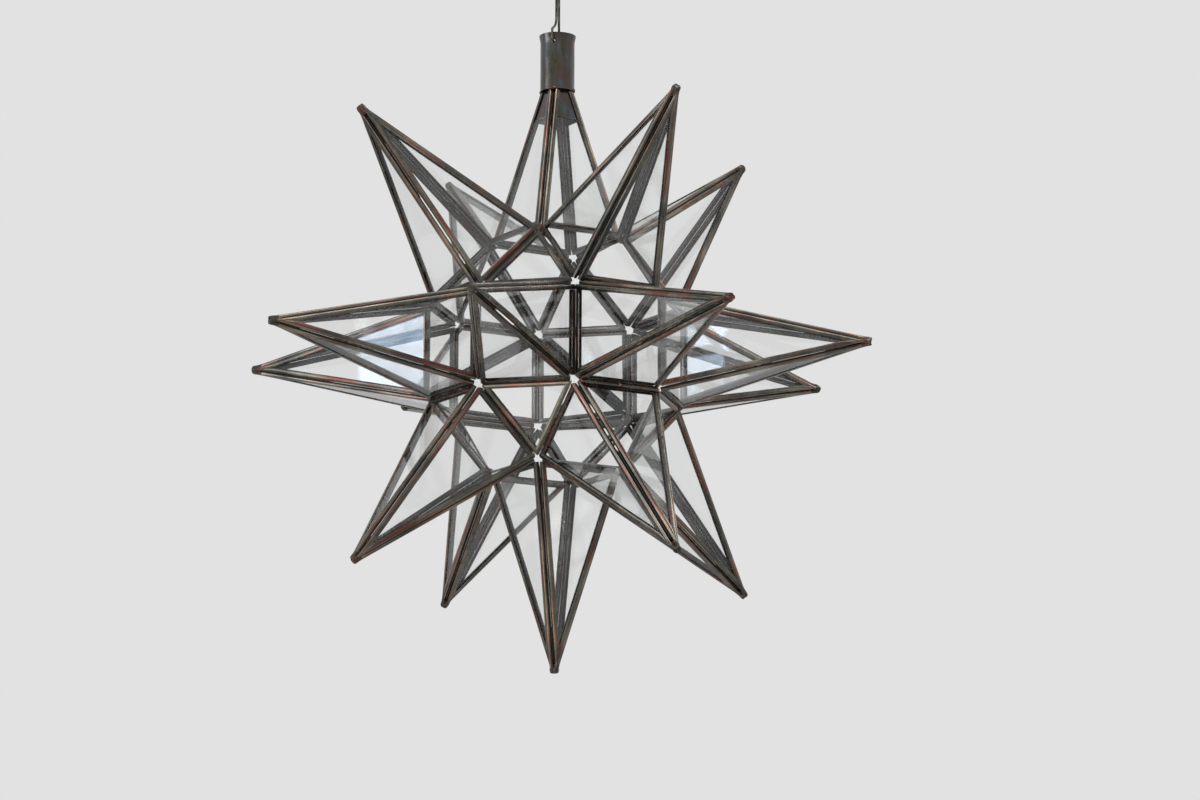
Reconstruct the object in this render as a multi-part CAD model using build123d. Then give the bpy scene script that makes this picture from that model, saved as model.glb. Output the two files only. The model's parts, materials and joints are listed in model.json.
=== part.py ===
from build123d import *
import math
import os

# Moravian star pendant: a glass star with seventeen pointed faces and an open
# eighteenth one, which carries a neck tube with a lampholder. The star hangs
# from a wire that passes through the neck and hooks into a ceiling plate.
# Millimetres and degrees. +Z is up, -Y is the front. The origin is the centre
# of the ceiling plate's top face, on the ceiling.

# ---- Driving dimensions ------------------------------------------------------

# Star body: eighteen square faces and eight triangles, all with one edge length
EDGE = 75.0
POINT_HEIGHT = 164.5  # from a square face to the apex of its four planes

# Metal came: a folded channel that frames each pane
CAME_DEPTH = 3.0      # across the pane
CAME_WIDTH = 4.0      # over the face of the pane
CAME_SPINE = 0.6
CAME_LEG = 0.45
SEAM_GAP = 0.3        # between two cames along their common fold
VERTEX_CUT = 3.3      # from a vertex of the body to the came's cut corner
TIP_CUT = 9.5         # from the apex, within the pane, to the came's end

# Glass
GLASS_THICKNESS = 2.0
GLASS_EDGE_GAP = 0.1
GLASS_TIP_CUT = 12.0

# Solder
TIP_CAP_LENGTH = 4.2
TIP_CAP_GAP = 0.13
VERTEX_SOLDER_R = 3.15
NECK_SOLDER_R = 2.0
SOLDER_GAP = 0.05

# Neck tube, which stands on the cut ends of the top point's corner cames
NECK_DIA = 27.4
NECK_WALL = 0.7
NECK_OVERHANG = 0.34   # of the tube, outside the top point's corners
RIM_DIA = 29.6
FLARE_LENGTH = 6.5
WIRE_HOLE_DEPTH = 7.3  # from the rim down to the two wire holes
WIRE_HOLE_DIA = 2.8
NECK_SEAT_GAP = 0.1    # between the cames' ends and the tube

# Sheet collar that closes the cut-off top point under the tube
COLLAR_HEIGHT = 23.6   # that shows below the tube
COLLAR_THICKNESS = 0.8
COLLAR_INSERT = 2.2    # how far it reaches up into the tube
COLLAR_GLASS_GAP = 0.3
COLLAR_HOLDER_GAP = 0.3  # from the collar's top up to the lampholder

# Door: one lower point on a wire-pin hinge
HINGE_PIN_DIA = 1.6
HINGE_FIT = 0.05       # radial
HINGE_TUBE_DIA = 2.8
HINGE_TUBE_LENGTH = 15.8
HINGE_MID_GAP = 3.0    # between the two door tubes
HINGE_END_GAP = 0.3    # between tube ends, and under the pin's heads
HINGE_HEAD_LENGTH = 0.9
HINGE_HEAD_DIA = 2.6
HINGE_CAME_GAP = 0.3   # between a tube and the came it lies beside
HINGE_WEB = 0.9

# Lampholder inside the neck tube, for a bulb with a 14 mm screw cap
STRAP_THICKNESS = 1.5
STRAP_WIDTH = 12.0
STRAP_TUBE_GAP = 0.05
NIPPLE_DIA = 10.0
NIPPLE_BORE = 7.0
NIPPLE_ABOVE_NUT = 0.8
NIPPLE_WIRE_GAP = 2.3    # from the nipple's end up to the hanging wire
NIPPLE_ENGAGEMENT = 6.0  # how far it reaches down into the cap
THREAD_FIT = 0.05        # radial
NUT_ACROSS_FLATS = 13.0
NUT_HEIGHT = 2.6
HOLDER_DIA = 22.0
HOLDER_WALL = 1.5
CAP_LENGTH = 10.0
CAP_TOP = 2.2
SLEEVE_LENGTH = 18.0
CORE_LENGTH = 4.5
CORE_GAP = 0.1
SHELL_BORE = 13.9
SHELL_WALL = 0.4
SHELL_LENGTH = 14.5
SHELL_RECESS = 1.0       # of the shell's mouth inside the sleeve
CONTACT_DIA = 5.0
CONTACT_HEIGHT = 1.4
CONTACT_POCKET_DIA = 9.0
CONTACT_RECESS = 0.1     # of the contact's tip inside its pocket
TERMINAL_SPACING = 12.0
TERMINAL_HEAD_DIA = 3.2
TERMINAL_HEAD_HEIGHT = 1.6

# Hanging wire, bent from one length
WIRE_DIA = 2.0
STRAND_OFFSET = 1.05      # each strand from the star's axis
WIRE_TUBE_GAP = 0.6       # between the wire and the widest part of the rim
WIRE_SHOULDER_RISE = 2.0  # above the rim, where the wire turns inwards
WIRE_STRAND_RISE = 5.5    # above the rim, where the strands turn upwards
SHOULDER_SHIFT = 0.6      # sideways, half way from the hole to the strand
WIRE_BEND_R = 2.5
BINDING_RISE = 32.0       # above the rim
BINDING_WIRE_DIA = 1.2
BINDING_TURNS = 3
BINDING_PITCH = 1.35
BINDING_GAP = 0.1
WIRE_END_GAP = 0.2
EYE_NECK_RISE = 1.0       # from the binding to where the eye opens
EYE_SLOPE_HEIGHT = 4.5
EYE_HEIGHT = 10.0
EYE_HALF_WIDTH = 5.2
EYE_SHOULDER_R = 3.0
EYE_FLAT = 0.1            # straight stretch left between the eye's top bends

# Ceiling hook and plate
HOOK_DIA = 3.2
HOOK_BEND_R = 6.5
HOOK_EYE_GAP = 0.3
HOOK_TIP_RISE = 2.0       # above the bend's centre
HOOK_SIDE_RISE = 4.0      # above the bend's centre, where the hook turns inwards
HOOK_NECK_RISE = 10.0     # above the bend's centre, where it meets the axis
HOOK_NECK_R = 4.0
HOOK_SHANK_RISE = 3.5     # bare shank below the boss
BOSS_DIA = 11.0
BOSS_HEIGHT = 5.0
PLATE_DIA = 48.0
PLATE_THICKNESS = 2.5
PLATE_EDGE_R = 0.8
SCREW_COUNT = 3
SCREW_CIRCLE_DIA = 36.0
SCREW_HOLE_DIA = 4.5

# ---- The star's points -------------------------------------------------------

# Name, azimuth and elevation of each point, and its sides that meet a flat pane.
# Azimuth turns from the front (-Y) towards the right (+X).
MIDDLE_ROW = (
    ("front", 0, ("lower", "upper")),
    ("front_right", 45, ()),
    ("right", 90, ("lower", "upper")),
    ("back_right", 135, ()),
    ("back", 180, ("lower", "upper")),
    ("back_left", 225, ()),
    ("left", 270, ("lower", "upper")),
    ("front_left", 315, ()),
)
DIAGONALS = (("front_right", 45), ("back_right", 135), ("back_left", 225), ("front_left", 315))
DOOR = "lower_front_right"
DOOR_AZIMUTH, DOOR_ELEVATION = 45, -45
TOP_AZIMUTH = 45

# The four panes of a point, by the side of the square that each stands on
SIDE_TURNS = {"lower": 0, "right": 90, "upper": 180, "left": 270}

# Vertices of the body that are closed with solder, by azimuth in each row.
# The others are left open, as light shows through them.
SOLDERED_VERTICES = {
    "top": (0, 90, 270),
    "upper": (67.5, 112.5, 292.5, 337.5),
    "lower": (112.5, 157.5, 247.5, 292.5),
    "bottom": (180, 270),
}

# ---- Values worked out from the driving dimensions ---------------------------

FACE_DISTANCE = EDGE * (1 + math.sqrt(2)) / 2  # from the star's centre to a square
SLANT = math.hypot(POINT_HEIGHT, EDGE / 2)     # pane's height within its own plane
SLOPE = math.degrees(math.atan2(POINT_HEIGHT, EDGE / 2))
LEAN = 90 - SLOPE
SIDE_FOLD = 180 - math.degrees(math.acos((EDGE / 2 / SLANT) ** 2))
SQUARE_FACE_ANGLE = 135.0
FLAT_FACE_ANGLE = math.degrees(math.acos(-math.sqrt(2 / 3)))
SQUARE_FOLD = 360 - SQUARE_FACE_ANGLE - 2 * SLOPE
FLAT_FOLD = 360 - FLAT_FACE_ANGLE - SLOPE
SLOT = CAME_DEPTH - 2 * CAME_LEG
GLASS_INSET = CAME_SPINE + GLASS_EDGE_GAP

NECK_RADIUS = NECK_DIA / 2
TOP_CUT_HEIGHT = (NECK_RADIUS - NECK_OVERHANG) * math.sqrt(2) / EDGE * POINT_HEIGHT
NECK_BOTTOM = FACE_DISTANCE + POINT_HEIGHT - TOP_CUT_HEIGHT
COLLAR_BOTTOM = NECK_BOTTOM - COLLAR_HEIGHT
COLLAR_TOP = NECK_BOTTOM + COLLAR_INSERT

SLEEVE_BOTTOM = COLLAR_TOP + COLLAR_HOLDER_GAP
SLEEVE_TOP = SLEEVE_BOTTOM + SLEEVE_LENGTH
CAP_TOP_FACE = SLEEVE_TOP + CAP_LENGTH
STRAP_TOP = CAP_TOP_FACE + STRAP_THICKNESS
NIPPLE_TOP = STRAP_TOP + NUT_HEIGHT + NIPPLE_ABOVE_NUT
CORE_BOTTOM = SLEEVE_BOTTOM + SHELL_RECESS + SHELL_LENGTH
CORE_TOP = CORE_BOTTOM + CORE_LENGTH
CONTACT_SEAT = CORE_BOTTOM + CONTACT_RECESS + CONTACT_HEIGHT
HOLDER_BORE_R = HOLDER_DIA / 2 - HOLDER_WALL

WIRE_HOLE = NIPPLE_TOP + NIPPLE_WIRE_GAP + WIRE_DIA / 2
RIM = WIRE_HOLE + WIRE_HOLE_DEPTH
BINDING_BOTTOM = RIM + BINDING_RISE
BINDING_HEIGHT = (BINDING_TURNS - 1) * BINDING_PITCH + BINDING_WIRE_DIA
EYE_NECK = BINDING_BOTTOM + BINDING_HEIGHT + EYE_NECK_RISE
EYE_TOP = EYE_NECK + EYE_SLOPE_HEIGHT + EYE_HEIGHT
HOOK_BOTTOM = EYE_TOP - WIRE_DIA / 2 - HOOK_EYE_GAP - HOOK_DIA / 2
HOOK_CENTRE = HOOK_BOTTOM + HOOK_BEND_R
BOSS_BOTTOM = HOOK_CENTRE + HOOK_NECK_RISE + HOOK_SHANK_RISE
PLATE_BOTTOM = BOSS_BOTTOM + BOSS_HEIGHT
CEILING = PLATE_BOTTOM + PLATE_THICKNESS

HINGE_STANDOFF = CAME_DEPTH / 2 + HINGE_CAME_GAP + HINGE_TUBE_DIA / 2
INNER_TUBE = (HINGE_MID_GAP + HINGE_TUBE_LENGTH) / 2
OUTER_TUBE = INNER_TUBE + HINGE_TUBE_LENGTH + HINGE_END_GAP

# All heights above are measured from the star's centre, which lies this far down
STAR_PLACE = Pos(0, 0, -CEILING)


# ---- Panes and cames ---------------------------------------------------------

def seam_inset(fold):
    """How far a came lies in from a fold, so that its neighbour is SEAM_GAP away."""
    half = math.radians(fold) / 2
    return (SEAM_GAP / 2 + CAME_DEPTH / 2 * math.cos(half)) / math.sin(half)


def clipped(outline, normal, reach):
    """The part of a convex outline whose points P keep P . normal <= reach."""
    kept = []
    for start, end in zip(outline, outline[1:] + outline[:1]):
        inside, inside_next = reach - start.dot(normal), reach - end.dot(normal)
        if inside >= 0:
            kept.append(start)
        if inside * inside_next < 0:
            kept.append(start + (end - start) * (inside / (inside - inside_next)))
    return kept


def trimmed(corners, insets, cuts, inward=0.0):
    """A convex outline with each edge moved in by its inset, and each corner cut
    square to its bisector. Everything then moves in by the same further distance."""
    outline = list(corners)
    count = len(corners)
    for index, corner in enumerate(corners):
        ahead = (corners[(index + 1) % count] - corner).normalized()
        behind = (corners[index - 1] - corner).normalized()
        outward = Vector(ahead.Y, -ahead.X, 0)
        outline = clipped(outline, outward, corner.dot(outward) - insets[index] - inward)
        bisector = (ahead + behind).normalized()
        reach = -corner.dot(bisector) - cuts[index] - inward
        outline = clipped(outline, bisector * -1, reach)
    return outline


def slab(outline, thickness):
    """A plate of the outline, centred on the plane of the pane."""
    return extrude(Polygon(*[(p.X, p.Y) for p in outline], align=None), thickness / 2, both=True)


def came_ring(corners, insets, cuts, tip_opening=0.0):
    """The folded channel round one pane. With a tip opening, the window and the slot
    run out past the tip's cut, which leaves two legs that end open."""
    inner_cuts = [*cuts[:2], cuts[2] - tip_opening]
    outer = slab(trimmed(corners, insets, cuts), CAME_DEPTH)
    window = slab(trimmed(corners, insets, inner_cuts, CAME_WIDTH), 2 * CAME_DEPTH)
    slot = slab(trimmed(corners, insets, inner_cuts, CAME_SPINE), SLOT)
    return outer - window - slot


def pane_corners():
    """One pane of a point, in its own plane: the base on X, the apex on Y."""
    return [Vector(-EDGE / 2, 0), Vector(EDGE / 2, 0), Vector(0, SLANT)]


def pane_insets(meets_flat_pane):
    """Insets of a pane's base, right and left edges."""
    side = seam_inset(SIDE_FOLD)
    return [seam_inset(FLAT_FOLD if meets_flat_pane else SQUARE_FOLD), side, side]


def in_pane(height):
    """Distance from the apex, within the pane, at a height above the star's centre."""
    return (FACE_DISTANCE + POINT_HEIGHT - height) * SLANT / POINT_HEIGHT


def direction(azimuth, elevation):
    """Unit vector that points away from the star's centre."""
    turn, lift = math.radians(azimuth), math.radians(elevation)
    flat = math.cos(lift)
    return Vector(math.sin(turn) * flat, -math.cos(turn) * flat, math.sin(lift))


def point_place(azimuth, elevation):
    """Frame on a square face: Z points outwards, X to the right and Y upwards."""
    outward = direction(azimuth, elevation)
    right = direction(azimuth + 90, 0)
    return STAR_PLACE * Plane(outward * FACE_DISTANCE, x_dir=right, z_dir=outward).location


def pane_place(side):
    """Frame of one pane on a square face: its base is on X and its outer face on +Z."""
    plane = Plane((0, -EDGE / 2, 0), x_dir=(1, 0, 0), z_dir=(0, -POINT_HEIGHT, EDGE / 2))
    return Rot(0, 0, SIDE_TURNS[side]) * plane.location


def point_frame(azimuth, elevation, flat_sides=()):
    """The four cames of one point."""
    place = point_place(azimuth, elevation)
    cuts = [VERTEX_CUT, VERTEX_CUT, TIP_CUT]
    rings = []
    for side in SIDE_TURNS:
        ring = came_ring(pane_corners(), pane_insets(side in flat_sides), cuts)
        rings.append(place * pane_place(side) * ring)
    return rings


def point_glass(azimuth, elevation, flat_sides=()):
    """The four panes of one point."""
    place = point_place(azimuth, elevation)
    cuts = [VERTEX_CUT, VERTEX_CUT, GLASS_TIP_CUT - GLASS_INSET]
    panes = []
    for side in SIDE_TURNS:
        outline = trimmed(pane_corners(), pane_insets(side in flat_sides), cuts, GLASS_INSET)
        panes.append(place * pane_place(side) * slab(outline, GLASS_THICKNESS))
    return panes


def tip_cap(azimuth, elevation):
    """Solder that closes the blunt end of a point."""
    spread = EDGE / 2 / POINT_HEIGHT
    skin = CAME_DEPTH / 2 / math.cos(math.radians(LEAN))
    base = TIP_CUT * POINT_HEIGHT / SLANT - CAME_DEPTH / 2 * math.sin(math.radians(LEAN)) - TIP_CAP_GAP
    top = base - TIP_CAP_LENGTH
    place = point_place(azimuth, elevation)
    lower = Pos(0, 0, POINT_HEIGHT - base) * Rectangle(*[2 * (base * spread + skin)] * 2)
    upper = Pos(0, 0, POINT_HEIGHT - top) * Rectangle(*[2 * (top * spread + skin)] * 2)
    return place * loft([lower, upper])


# ---- The cut-off top point, its collar and the neck tube ---------------------

def top_parts():
    """Cames, glass and sheet collar of the top point, which ends under the neck tube."""
    lean = math.radians(LEAN)
    place = point_place(TOP_AZIMUTH, 90)
    came_end = NECK_BOTTOM - NECK_SEAT_GAP - CAME_DEPTH / 2 * math.sin(lean)
    glass_end = COLLAR_BOTTOM - COLLAR_GLASS_GAP
    came_cuts = [VERTEX_CUT, VERTEX_CUT, in_pane(came_end)]
    glass_cuts = [VERTEX_CUT, VERTEX_CUT, in_pane(glass_end) - GLASS_INSET]
    collar_cuts = [0, 0, in_pane(COLLAR_TOP) - GLASS_INSET]
    collar_base = SLANT - in_pane(COLLAR_BOTTOM)
    frames, panes, collar = [], [], []
    for side in SIDE_TURNS:
        pane = place * pane_place(side)
        insets = pane_insets(False)
        frames.append(pane * came_ring(pane_corners(), insets, came_cuts, CAME_WIDTH + CAME_SPINE))
        panes.append(pane * slab(trimmed(pane_corners(), insets, glass_cuts, GLASS_INSET), GLASS_THICKNESS))
        sheet = trimmed(pane_corners(), insets, collar_cuts, GLASS_INSET)
        sheet = clipped(sheet, Vector(0, -1), -collar_base)
        collar.append(pane * slab(sheet, COLLAR_THICKNESS))
    return frames, panes, collar


def neck_tube():
    """Tube with a flared rim and two holes for the wire, front and back."""
    bore, flare = NECK_RADIUS - NECK_WALL, (RIM_DIA - NECK_DIA) / 2
    flare_start = RIM - FLARE_LENGTH
    profile = Polygon(
        (bore, NECK_BOTTOM), (NECK_RADIUS, NECK_BOTTOM), (NECK_RADIUS, flare_start),
        (NECK_RADIUS + flare, RIM), (bore + flare, RIM), (bore, flare_start), align=None)
    tube = revolve(Plane.XZ * profile, Axis.Z)
    holes = Pos(0, 0, WIRE_HOLE) * Rot(90, 0, 0) * Cylinder(WIRE_HOLE_DIA / 2, 2 * RIM_DIA)
    return STAR_PLACE * (tube - holes)


def neck_solder():
    """Blobs where the four corner cames of the top point meet the tube."""
    blobs = []
    for azimuth in (0, 90, 180, 270):
        centre = direction(azimuth, 0) * NECK_RADIUS + Vector(0, 0, NECK_BOTTOM)
        blob = Pos(centre) * Sphere(NECK_SOLDER_R)
        blob -= Pos(0, 0, NECK_BOTTOM) * Cylinder(NECK_RADIUS + SOLDER_GAP, 4 * NECK_SOLDER_R)
        blob -= Pos(centre + Vector(0, 0, SOLDER_GAP)) * Box(
            *[4 * NECK_SOLDER_R] * 3, align=(Align.CENTER, Align.CENTER, Align.MAX))
        blobs.append(STAR_PLACE * blob)
    return blobs


# ---- Flat panes and vertex solder --------------------------------------------

def vertex(row, azimuth):
    """A vertex of the body, by its row and azimuth."""
    half, diagonal = EDGE / 2, EDGE / math.sqrt(2)
    far = math.hypot(half, FACE_DISTANCE)
    reach, height = {
        "top": (diagonal, FACE_DISTANCE), "upper": (far, half),
        "lower": (far, -half), "bottom": (diagonal, -FACE_DISTANCE),
    }[row]
    return direction(azimuth, 0) * reach + Vector(0, 0, height)


def flat_panes():
    """Cames and glass of the eight triangles between the points."""
    height = EDGE * math.sqrt(3) / 2
    corners = [Vector(-EDGE / 2, -height / 3), Vector(EDGE / 2, -height / 3), Vector(0, 2 * height / 3)]
    insets = [seam_inset(FLAT_FOLD)] * 3
    cuts = [VERTEX_CUT] * 3
    distance = (vertex("top", 0) + vertex("upper", 22.5) + vertex("upper", -22.5)).length / 3
    lift = math.degrees(math.asin(1 / math.sqrt(3)))
    frames, panes = [], []
    for elevation in (lift, -lift):
        for azimuth in (0, 90, 180, 270):
            outward, right = direction(azimuth, elevation), direction(azimuth + 90, 0)
            plane = Plane(outward * distance, x_dir=right, z_dir=outward)
            place = STAR_PLACE * plane.location * Rot(0, 0, 0 if elevation > 0 else 180)
            frames.append(place * came_ring(corners, insets, cuts))
            panes.append(place * slab(trimmed(corners, insets, cuts, GLASS_INSET), GLASS_THICKNESS))
    return frames, panes


def vertex_solder():
    """Solder balls in the closed vertices of the body."""
    return [
        STAR_PLACE * Pos(vertex(row, azimuth)) * Sphere(VERTEX_SOLDER_R)
        for row, azimuths in SOLDERED_VERTICES.items() for azimuth in azimuths]


# ---- Door hinge --------------------------------------------------------------

def hinge_place():
    """Frame of the hinge in the groove above the door: X runs along the pin, Y up to
    the point above the door, and Z out of the groove."""
    along = direction(DOOR_AZIMUTH + 90, 0)
    out_of_groove = direction(DOOR_AZIMUTH, DOOR_ELEVATION / 2)
    face = direction(DOOR_AZIMUTH, DOOR_ELEVATION)
    fold = face * FACE_DISTANCE + face.cross(along) * (EDGE / 2)
    centre = fold + out_of_groove * (HINGE_STANDOFF / math.sin(math.radians(SQUARE_FOLD / 2)))
    return STAR_PLACE * Plane(centre, x_dir=along, z_dir=out_of_groove).location


def hinge_tubes(offset, web_turn):
    """A pair of hinge tubes, each with the web of solder that holds it to its came.
    The web leaves the tube at an angle from the hinge's Y axis."""
    bore = Rot(0, 90, 0) * Cylinder(HINGE_PIN_DIA / 2 + HINGE_FIT, 2 * HINGE_TUBE_LENGTH)
    body = Rot(0, 90, 0) * Cylinder(HINGE_TUBE_DIA / 2, HINGE_TUBE_LENGTH)
    body += Rot(web_turn, 0, 0) * Box(
        HINGE_TUBE_LENGTH, HINGE_STANDOFF - CAME_DEPTH / 2, HINGE_WEB,
        align=(Align.CENTER, Align.MIN, Align.CENTER))
    return [hinge_place() * Pos(side * offset, 0, 0) * (body - bore) for side in (-1, 1)]


def hinge_pin():
    """Wire pin through all four tubes, peened to a head at each end."""
    half = OUTER_TUBE + HINGE_TUBE_LENGTH / 2 + HINGE_END_GAP
    pin = Cylinder(HINGE_PIN_DIA / 2, 2 * half)
    head = Cylinder(HINGE_HEAD_DIA / 2, HINGE_HEAD_LENGTH)
    for side in (-1, 1):
        pin += Pos(0, 0, side * (half + HINGE_HEAD_LENGTH / 2)) * head
    return hinge_place() * Rot(0, 90, 0) * pin


# ---- Lampholder --------------------------------------------------------------

def disc(radius, bottom, top):
    """A plain disc on the star's axis, between two heights."""
    return Pos(0, 0, (bottom + top) / 2) * Cylinder(radius, top - bottom)


def tube(outer_radius, inner_radius, bottom, top):
    """A plain tube on the star's axis, between two heights."""
    return disc(outer_radius, bottom, top) - disc(inner_radius, bottom - outer_radius, top + outer_radius)


def holder_strap():
    """Bar across the tube that carries the lampholder's nipple."""
    bar = Box(2 * NECK_RADIUS, STRAP_WIDTH, STRAP_THICKNESS)
    bar &= Cylinder(NECK_RADIUS - NECK_WALL - STRAP_TUBE_GAP, STRAP_THICKNESS)
    bar -= Cylinder(NIPPLE_DIA / 2 + THREAD_FIT, 2 * STRAP_THICKNESS)
    return STAR_PLACE * Pos(0, 0, STRAP_TOP - STRAP_THICKNESS / 2) * bar


def holder_nipple():
    """Hollow threaded nipple that joins the strap, the nut and the cap."""
    bottom = CAP_TOP_FACE - NIPPLE_ENGAGEMENT
    return STAR_PLACE * tube(NIPPLE_DIA / 2, NIPPLE_BORE / 2, bottom, NIPPLE_TOP)


def holder_nut():
    """Hexagonal nut that clamps the nipple to the strap."""
    hexagon = RegularPolygon(NUT_ACROSS_FLATS / 2, 6, major_radius=False)
    ring = hexagon - Circle(NIPPLE_DIA / 2 + THREAD_FIT)
    return STAR_PLACE * Pos(0, 0, STRAP_TOP) * extrude(ring, NUT_HEIGHT)


def lampholder_cap():
    """Cup that the nipple screws into."""
    lid = tube(HOLDER_DIA / 2, NIPPLE_DIA / 2 + THREAD_FIT, CAP_TOP_FACE - CAP_TOP, CAP_TOP_FACE)
    skirt = tube(HOLDER_DIA / 2, HOLDER_BORE_R, SLEEVE_TOP, CAP_TOP_FACE - CAP_TOP)
    return STAR_PLACE * (lid + skirt)


def lampholder_sleeve():
    """Outer tube of the lampholder, round the screw shell."""
    return STAR_PLACE * tube(HOLDER_DIA / 2, HOLDER_BORE_R, SLEEVE_BOTTOM, SLEEVE_TOP)


def lampholder_core():
    """Insulating disc that carries the screw shell and the terminals. Its pocket holds
    the centre contact."""
    body = disc(HOLDER_BORE_R - CORE_GAP, CORE_BOTTOM, CORE_TOP)
    pocket = disc(CONTACT_POCKET_DIA / 2, CORE_BOTTOM - CONTACT_HEIGHT, CONTACT_SEAT)
    return STAR_PLACE * (body - pocket)


def lamp_screw_shell():
    """Thin shell that the lamp's cap screws into."""
    radius = SHELL_BORE / 2
    return STAR_PLACE * tube(radius + SHELL_WALL, radius, CORE_BOTTOM - SHELL_LENGTH, CORE_BOTTOM)


def centre_contact():
    """Raised contact in the core's pocket, above the screw shell."""
    base = disc(CONTACT_DIA / 2, CONTACT_SEAT - CONTACT_HEIGHT / 2, CONTACT_SEAT)
    tip = disc(CONTACT_DIA / 4, CONTACT_SEAT - CONTACT_HEIGHT, CONTACT_SEAT - CONTACT_HEIGHT / 2)
    return STAR_PLACE * (base + tip)


def terminal_screws():
    """The two screws on the core that clamp the mains wires."""
    head = disc(TERMINAL_HEAD_DIA / 2, 0, TERMINAL_HEAD_HEIGHT)
    return [STAR_PLACE * Pos(side * TERMINAL_SPACING / 2, 0, CORE_TOP) * head for side in (-1, 1)]


# ---- Hanging wire ------------------------------------------------------------

def hanging_wire():
    """One wire that crosses the neck through both holes. It turns over the rim, runs
    up as two strands side by side and opens into the eye for the ceiling hook."""
    shoulder_y = RIM_DIA / 2 + WIRE_DIA / 2 + WIRE_TUBE_GAP
    shoulder_z, strand_z = RIM + WIRE_SHOULDER_RISE, RIM + WIRE_STRAND_RISE
    end_z = BINDING_BOTTOM + BINDING_HEIGHT / 2
    slope_z = EYE_NECK + EYE_SLOPE_HEIGHT
    points = [
        (STRAND_OFFSET, 0, end_z),
        (STRAND_OFFSET, 0, strand_z),
        (SHOULDER_SHIFT, shoulder_y, shoulder_z),
        (0, shoulder_y, WIRE_HOLE),
        (0, -shoulder_y, WIRE_HOLE),
        (-SHOULDER_SHIFT, -shoulder_y, shoulder_z),
        (-STRAND_OFFSET, 0, strand_z),
        (-STRAND_OFFSET, 0, EYE_NECK),
        (-EYE_HALF_WIDTH, 0, slope_z),
        (-EYE_HALF_WIDTH, 0, EYE_TOP),
        (EYE_HALF_WIDTH, 0, EYE_TOP),
        (EYE_HALF_WIDTH, 0, slope_z),
        (STRAND_OFFSET, 0, EYE_NECK),
        (STRAND_OFFSET, 0, end_z + WIRE_END_GAP),
    ]
    eye_top_r = EYE_HALF_WIDTH - EYE_FLAT / 2
    radii = [WIRE_BEND_R] * 6 + [EYE_SHOULDER_R] * 2 + [eye_top_r] * 2 + [EYE_SHOULDER_R] * 2
    path = FilletPolyline(*points, radius=radii)
    start = Plane(points[0], z_dir=(0, 0, -1))
    return STAR_PLACE * sweep(start * Circle(WIRE_DIA / 2), path=path)


def wire_binding():
    """Rings of thin wire that bind the two strands under the eye."""
    turn_r = (WIRE_DIA + BINDING_WIRE_DIA) / 2 + BINDING_GAP
    rings = []
    for index in range(BINDING_TURNS):
        height = BINDING_BOTTOM + BINDING_WIRE_DIA / 2 + index * BINDING_PITCH
        outline = SlotCenterToCenter(2 * STRAND_OFFSET, 2 * turn_r)
        path = Pos(0, 0, height) * outline.wire()
        start = Plane(path @ 0, z_dir=path % 0)
        rings.append(STAR_PLACE * sweep(start * Circle(BINDING_WIRE_DIA / 2), path=path))
    return rings


# ---- Ceiling hook and plate --------------------------------------------------

def ceiling_hook():
    """Hook of bent rod: its shank is in the plate's boss, and its bend is on the axis."""
    top = CEILING - PLATE_THICKNESS
    neck = FilletPolyline(
        (0, 0, top), (0, 0, HOOK_CENTRE + HOOK_NECK_RISE),
        (0, HOOK_BEND_R, HOOK_CENTRE + HOOK_SIDE_RISE), (0, HOOK_BEND_R, HOOK_CENTRE),
        radius=[HOOK_NECK_R, HOOK_NECK_R / 2])
    bend = ThreePointArc((0, HOOK_BEND_R, HOOK_CENTRE), (0, 0, HOOK_BOTTOM), (0, -HOOK_BEND_R, HOOK_CENTRE))
    tip = Line((0, -HOOK_BEND_R, HOOK_CENTRE), (0, -HOOK_BEND_R, HOOK_CENTRE + HOOK_TIP_RISE))
    path = Wire([*neck.edges(), *bend.edges(), *tip.edges()])
    start = Plane((0, 0, top), z_dir=(0, 0, -1))
    return STAR_PLACE * sweep(start * Circle(HOOK_DIA / 2), path=path)


def ceiling_plate():
    """Round plate with a boss for the hook and three screw holes."""
    flange = Pos(0, 0, -PLATE_THICKNESS / 2) * Cylinder(PLATE_DIA / 2, PLATE_THICKNESS)
    flange = fillet(flange.edges().filter_by(GeomType.CIRCLE).sort_by(Axis.Z)[0], PLATE_EDGE_R)
    boss = Pos(0, 0, -PLATE_THICKNESS - BOSS_HEIGHT / 2) * Cylinder(BOSS_DIA / 2, BOSS_HEIGHT)
    socket = Pos(0, 0, -PLATE_THICKNESS - BOSS_HEIGHT) * Cylinder(
        HOOK_DIA / 2 + THREAD_FIT, BOSS_HEIGHT + THREAD_FIT, align=(Align.CENTER, Align.CENTER, Align.MIN))
    plate = flange + boss - socket
    for index in range(SCREW_COUNT):
        centre = direction(index * 360 / SCREW_COUNT, 0) * (SCREW_CIRCLE_DIA / 2)
        plate -= Pos(centre) * Cylinder(SCREW_HOLE_DIA / 2, 4 * PLATE_THICKNESS)
    return plate


# ---- Files -------------------------------------------------------------------

def save(node, solids):
    """Write one node: a single solid, or a group of separate ones."""
    shape = Compound(list(solids)) if isinstance(solids, (list, tuple)) else solids
    export_step(shape, f"parts/{node}.step")


def fixed_points():
    """Name, azimuth, elevation and flat sides of every point but the door and the top."""
    points = [(name, azimuth, 0, flats) for name, azimuth, flats in MIDDLE_ROW]
    for row, elevation in (("upper", 45), ("lower", -45)):
        points += [(f"{row}_{name}", azimuth, elevation, ("left", "right")) for name, azimuth in DIAGONALS]
    points.append(("bottom", TOP_AZIMUTH, -90, ()))
    return [point for point in points if point[0] != DOOR]


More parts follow.
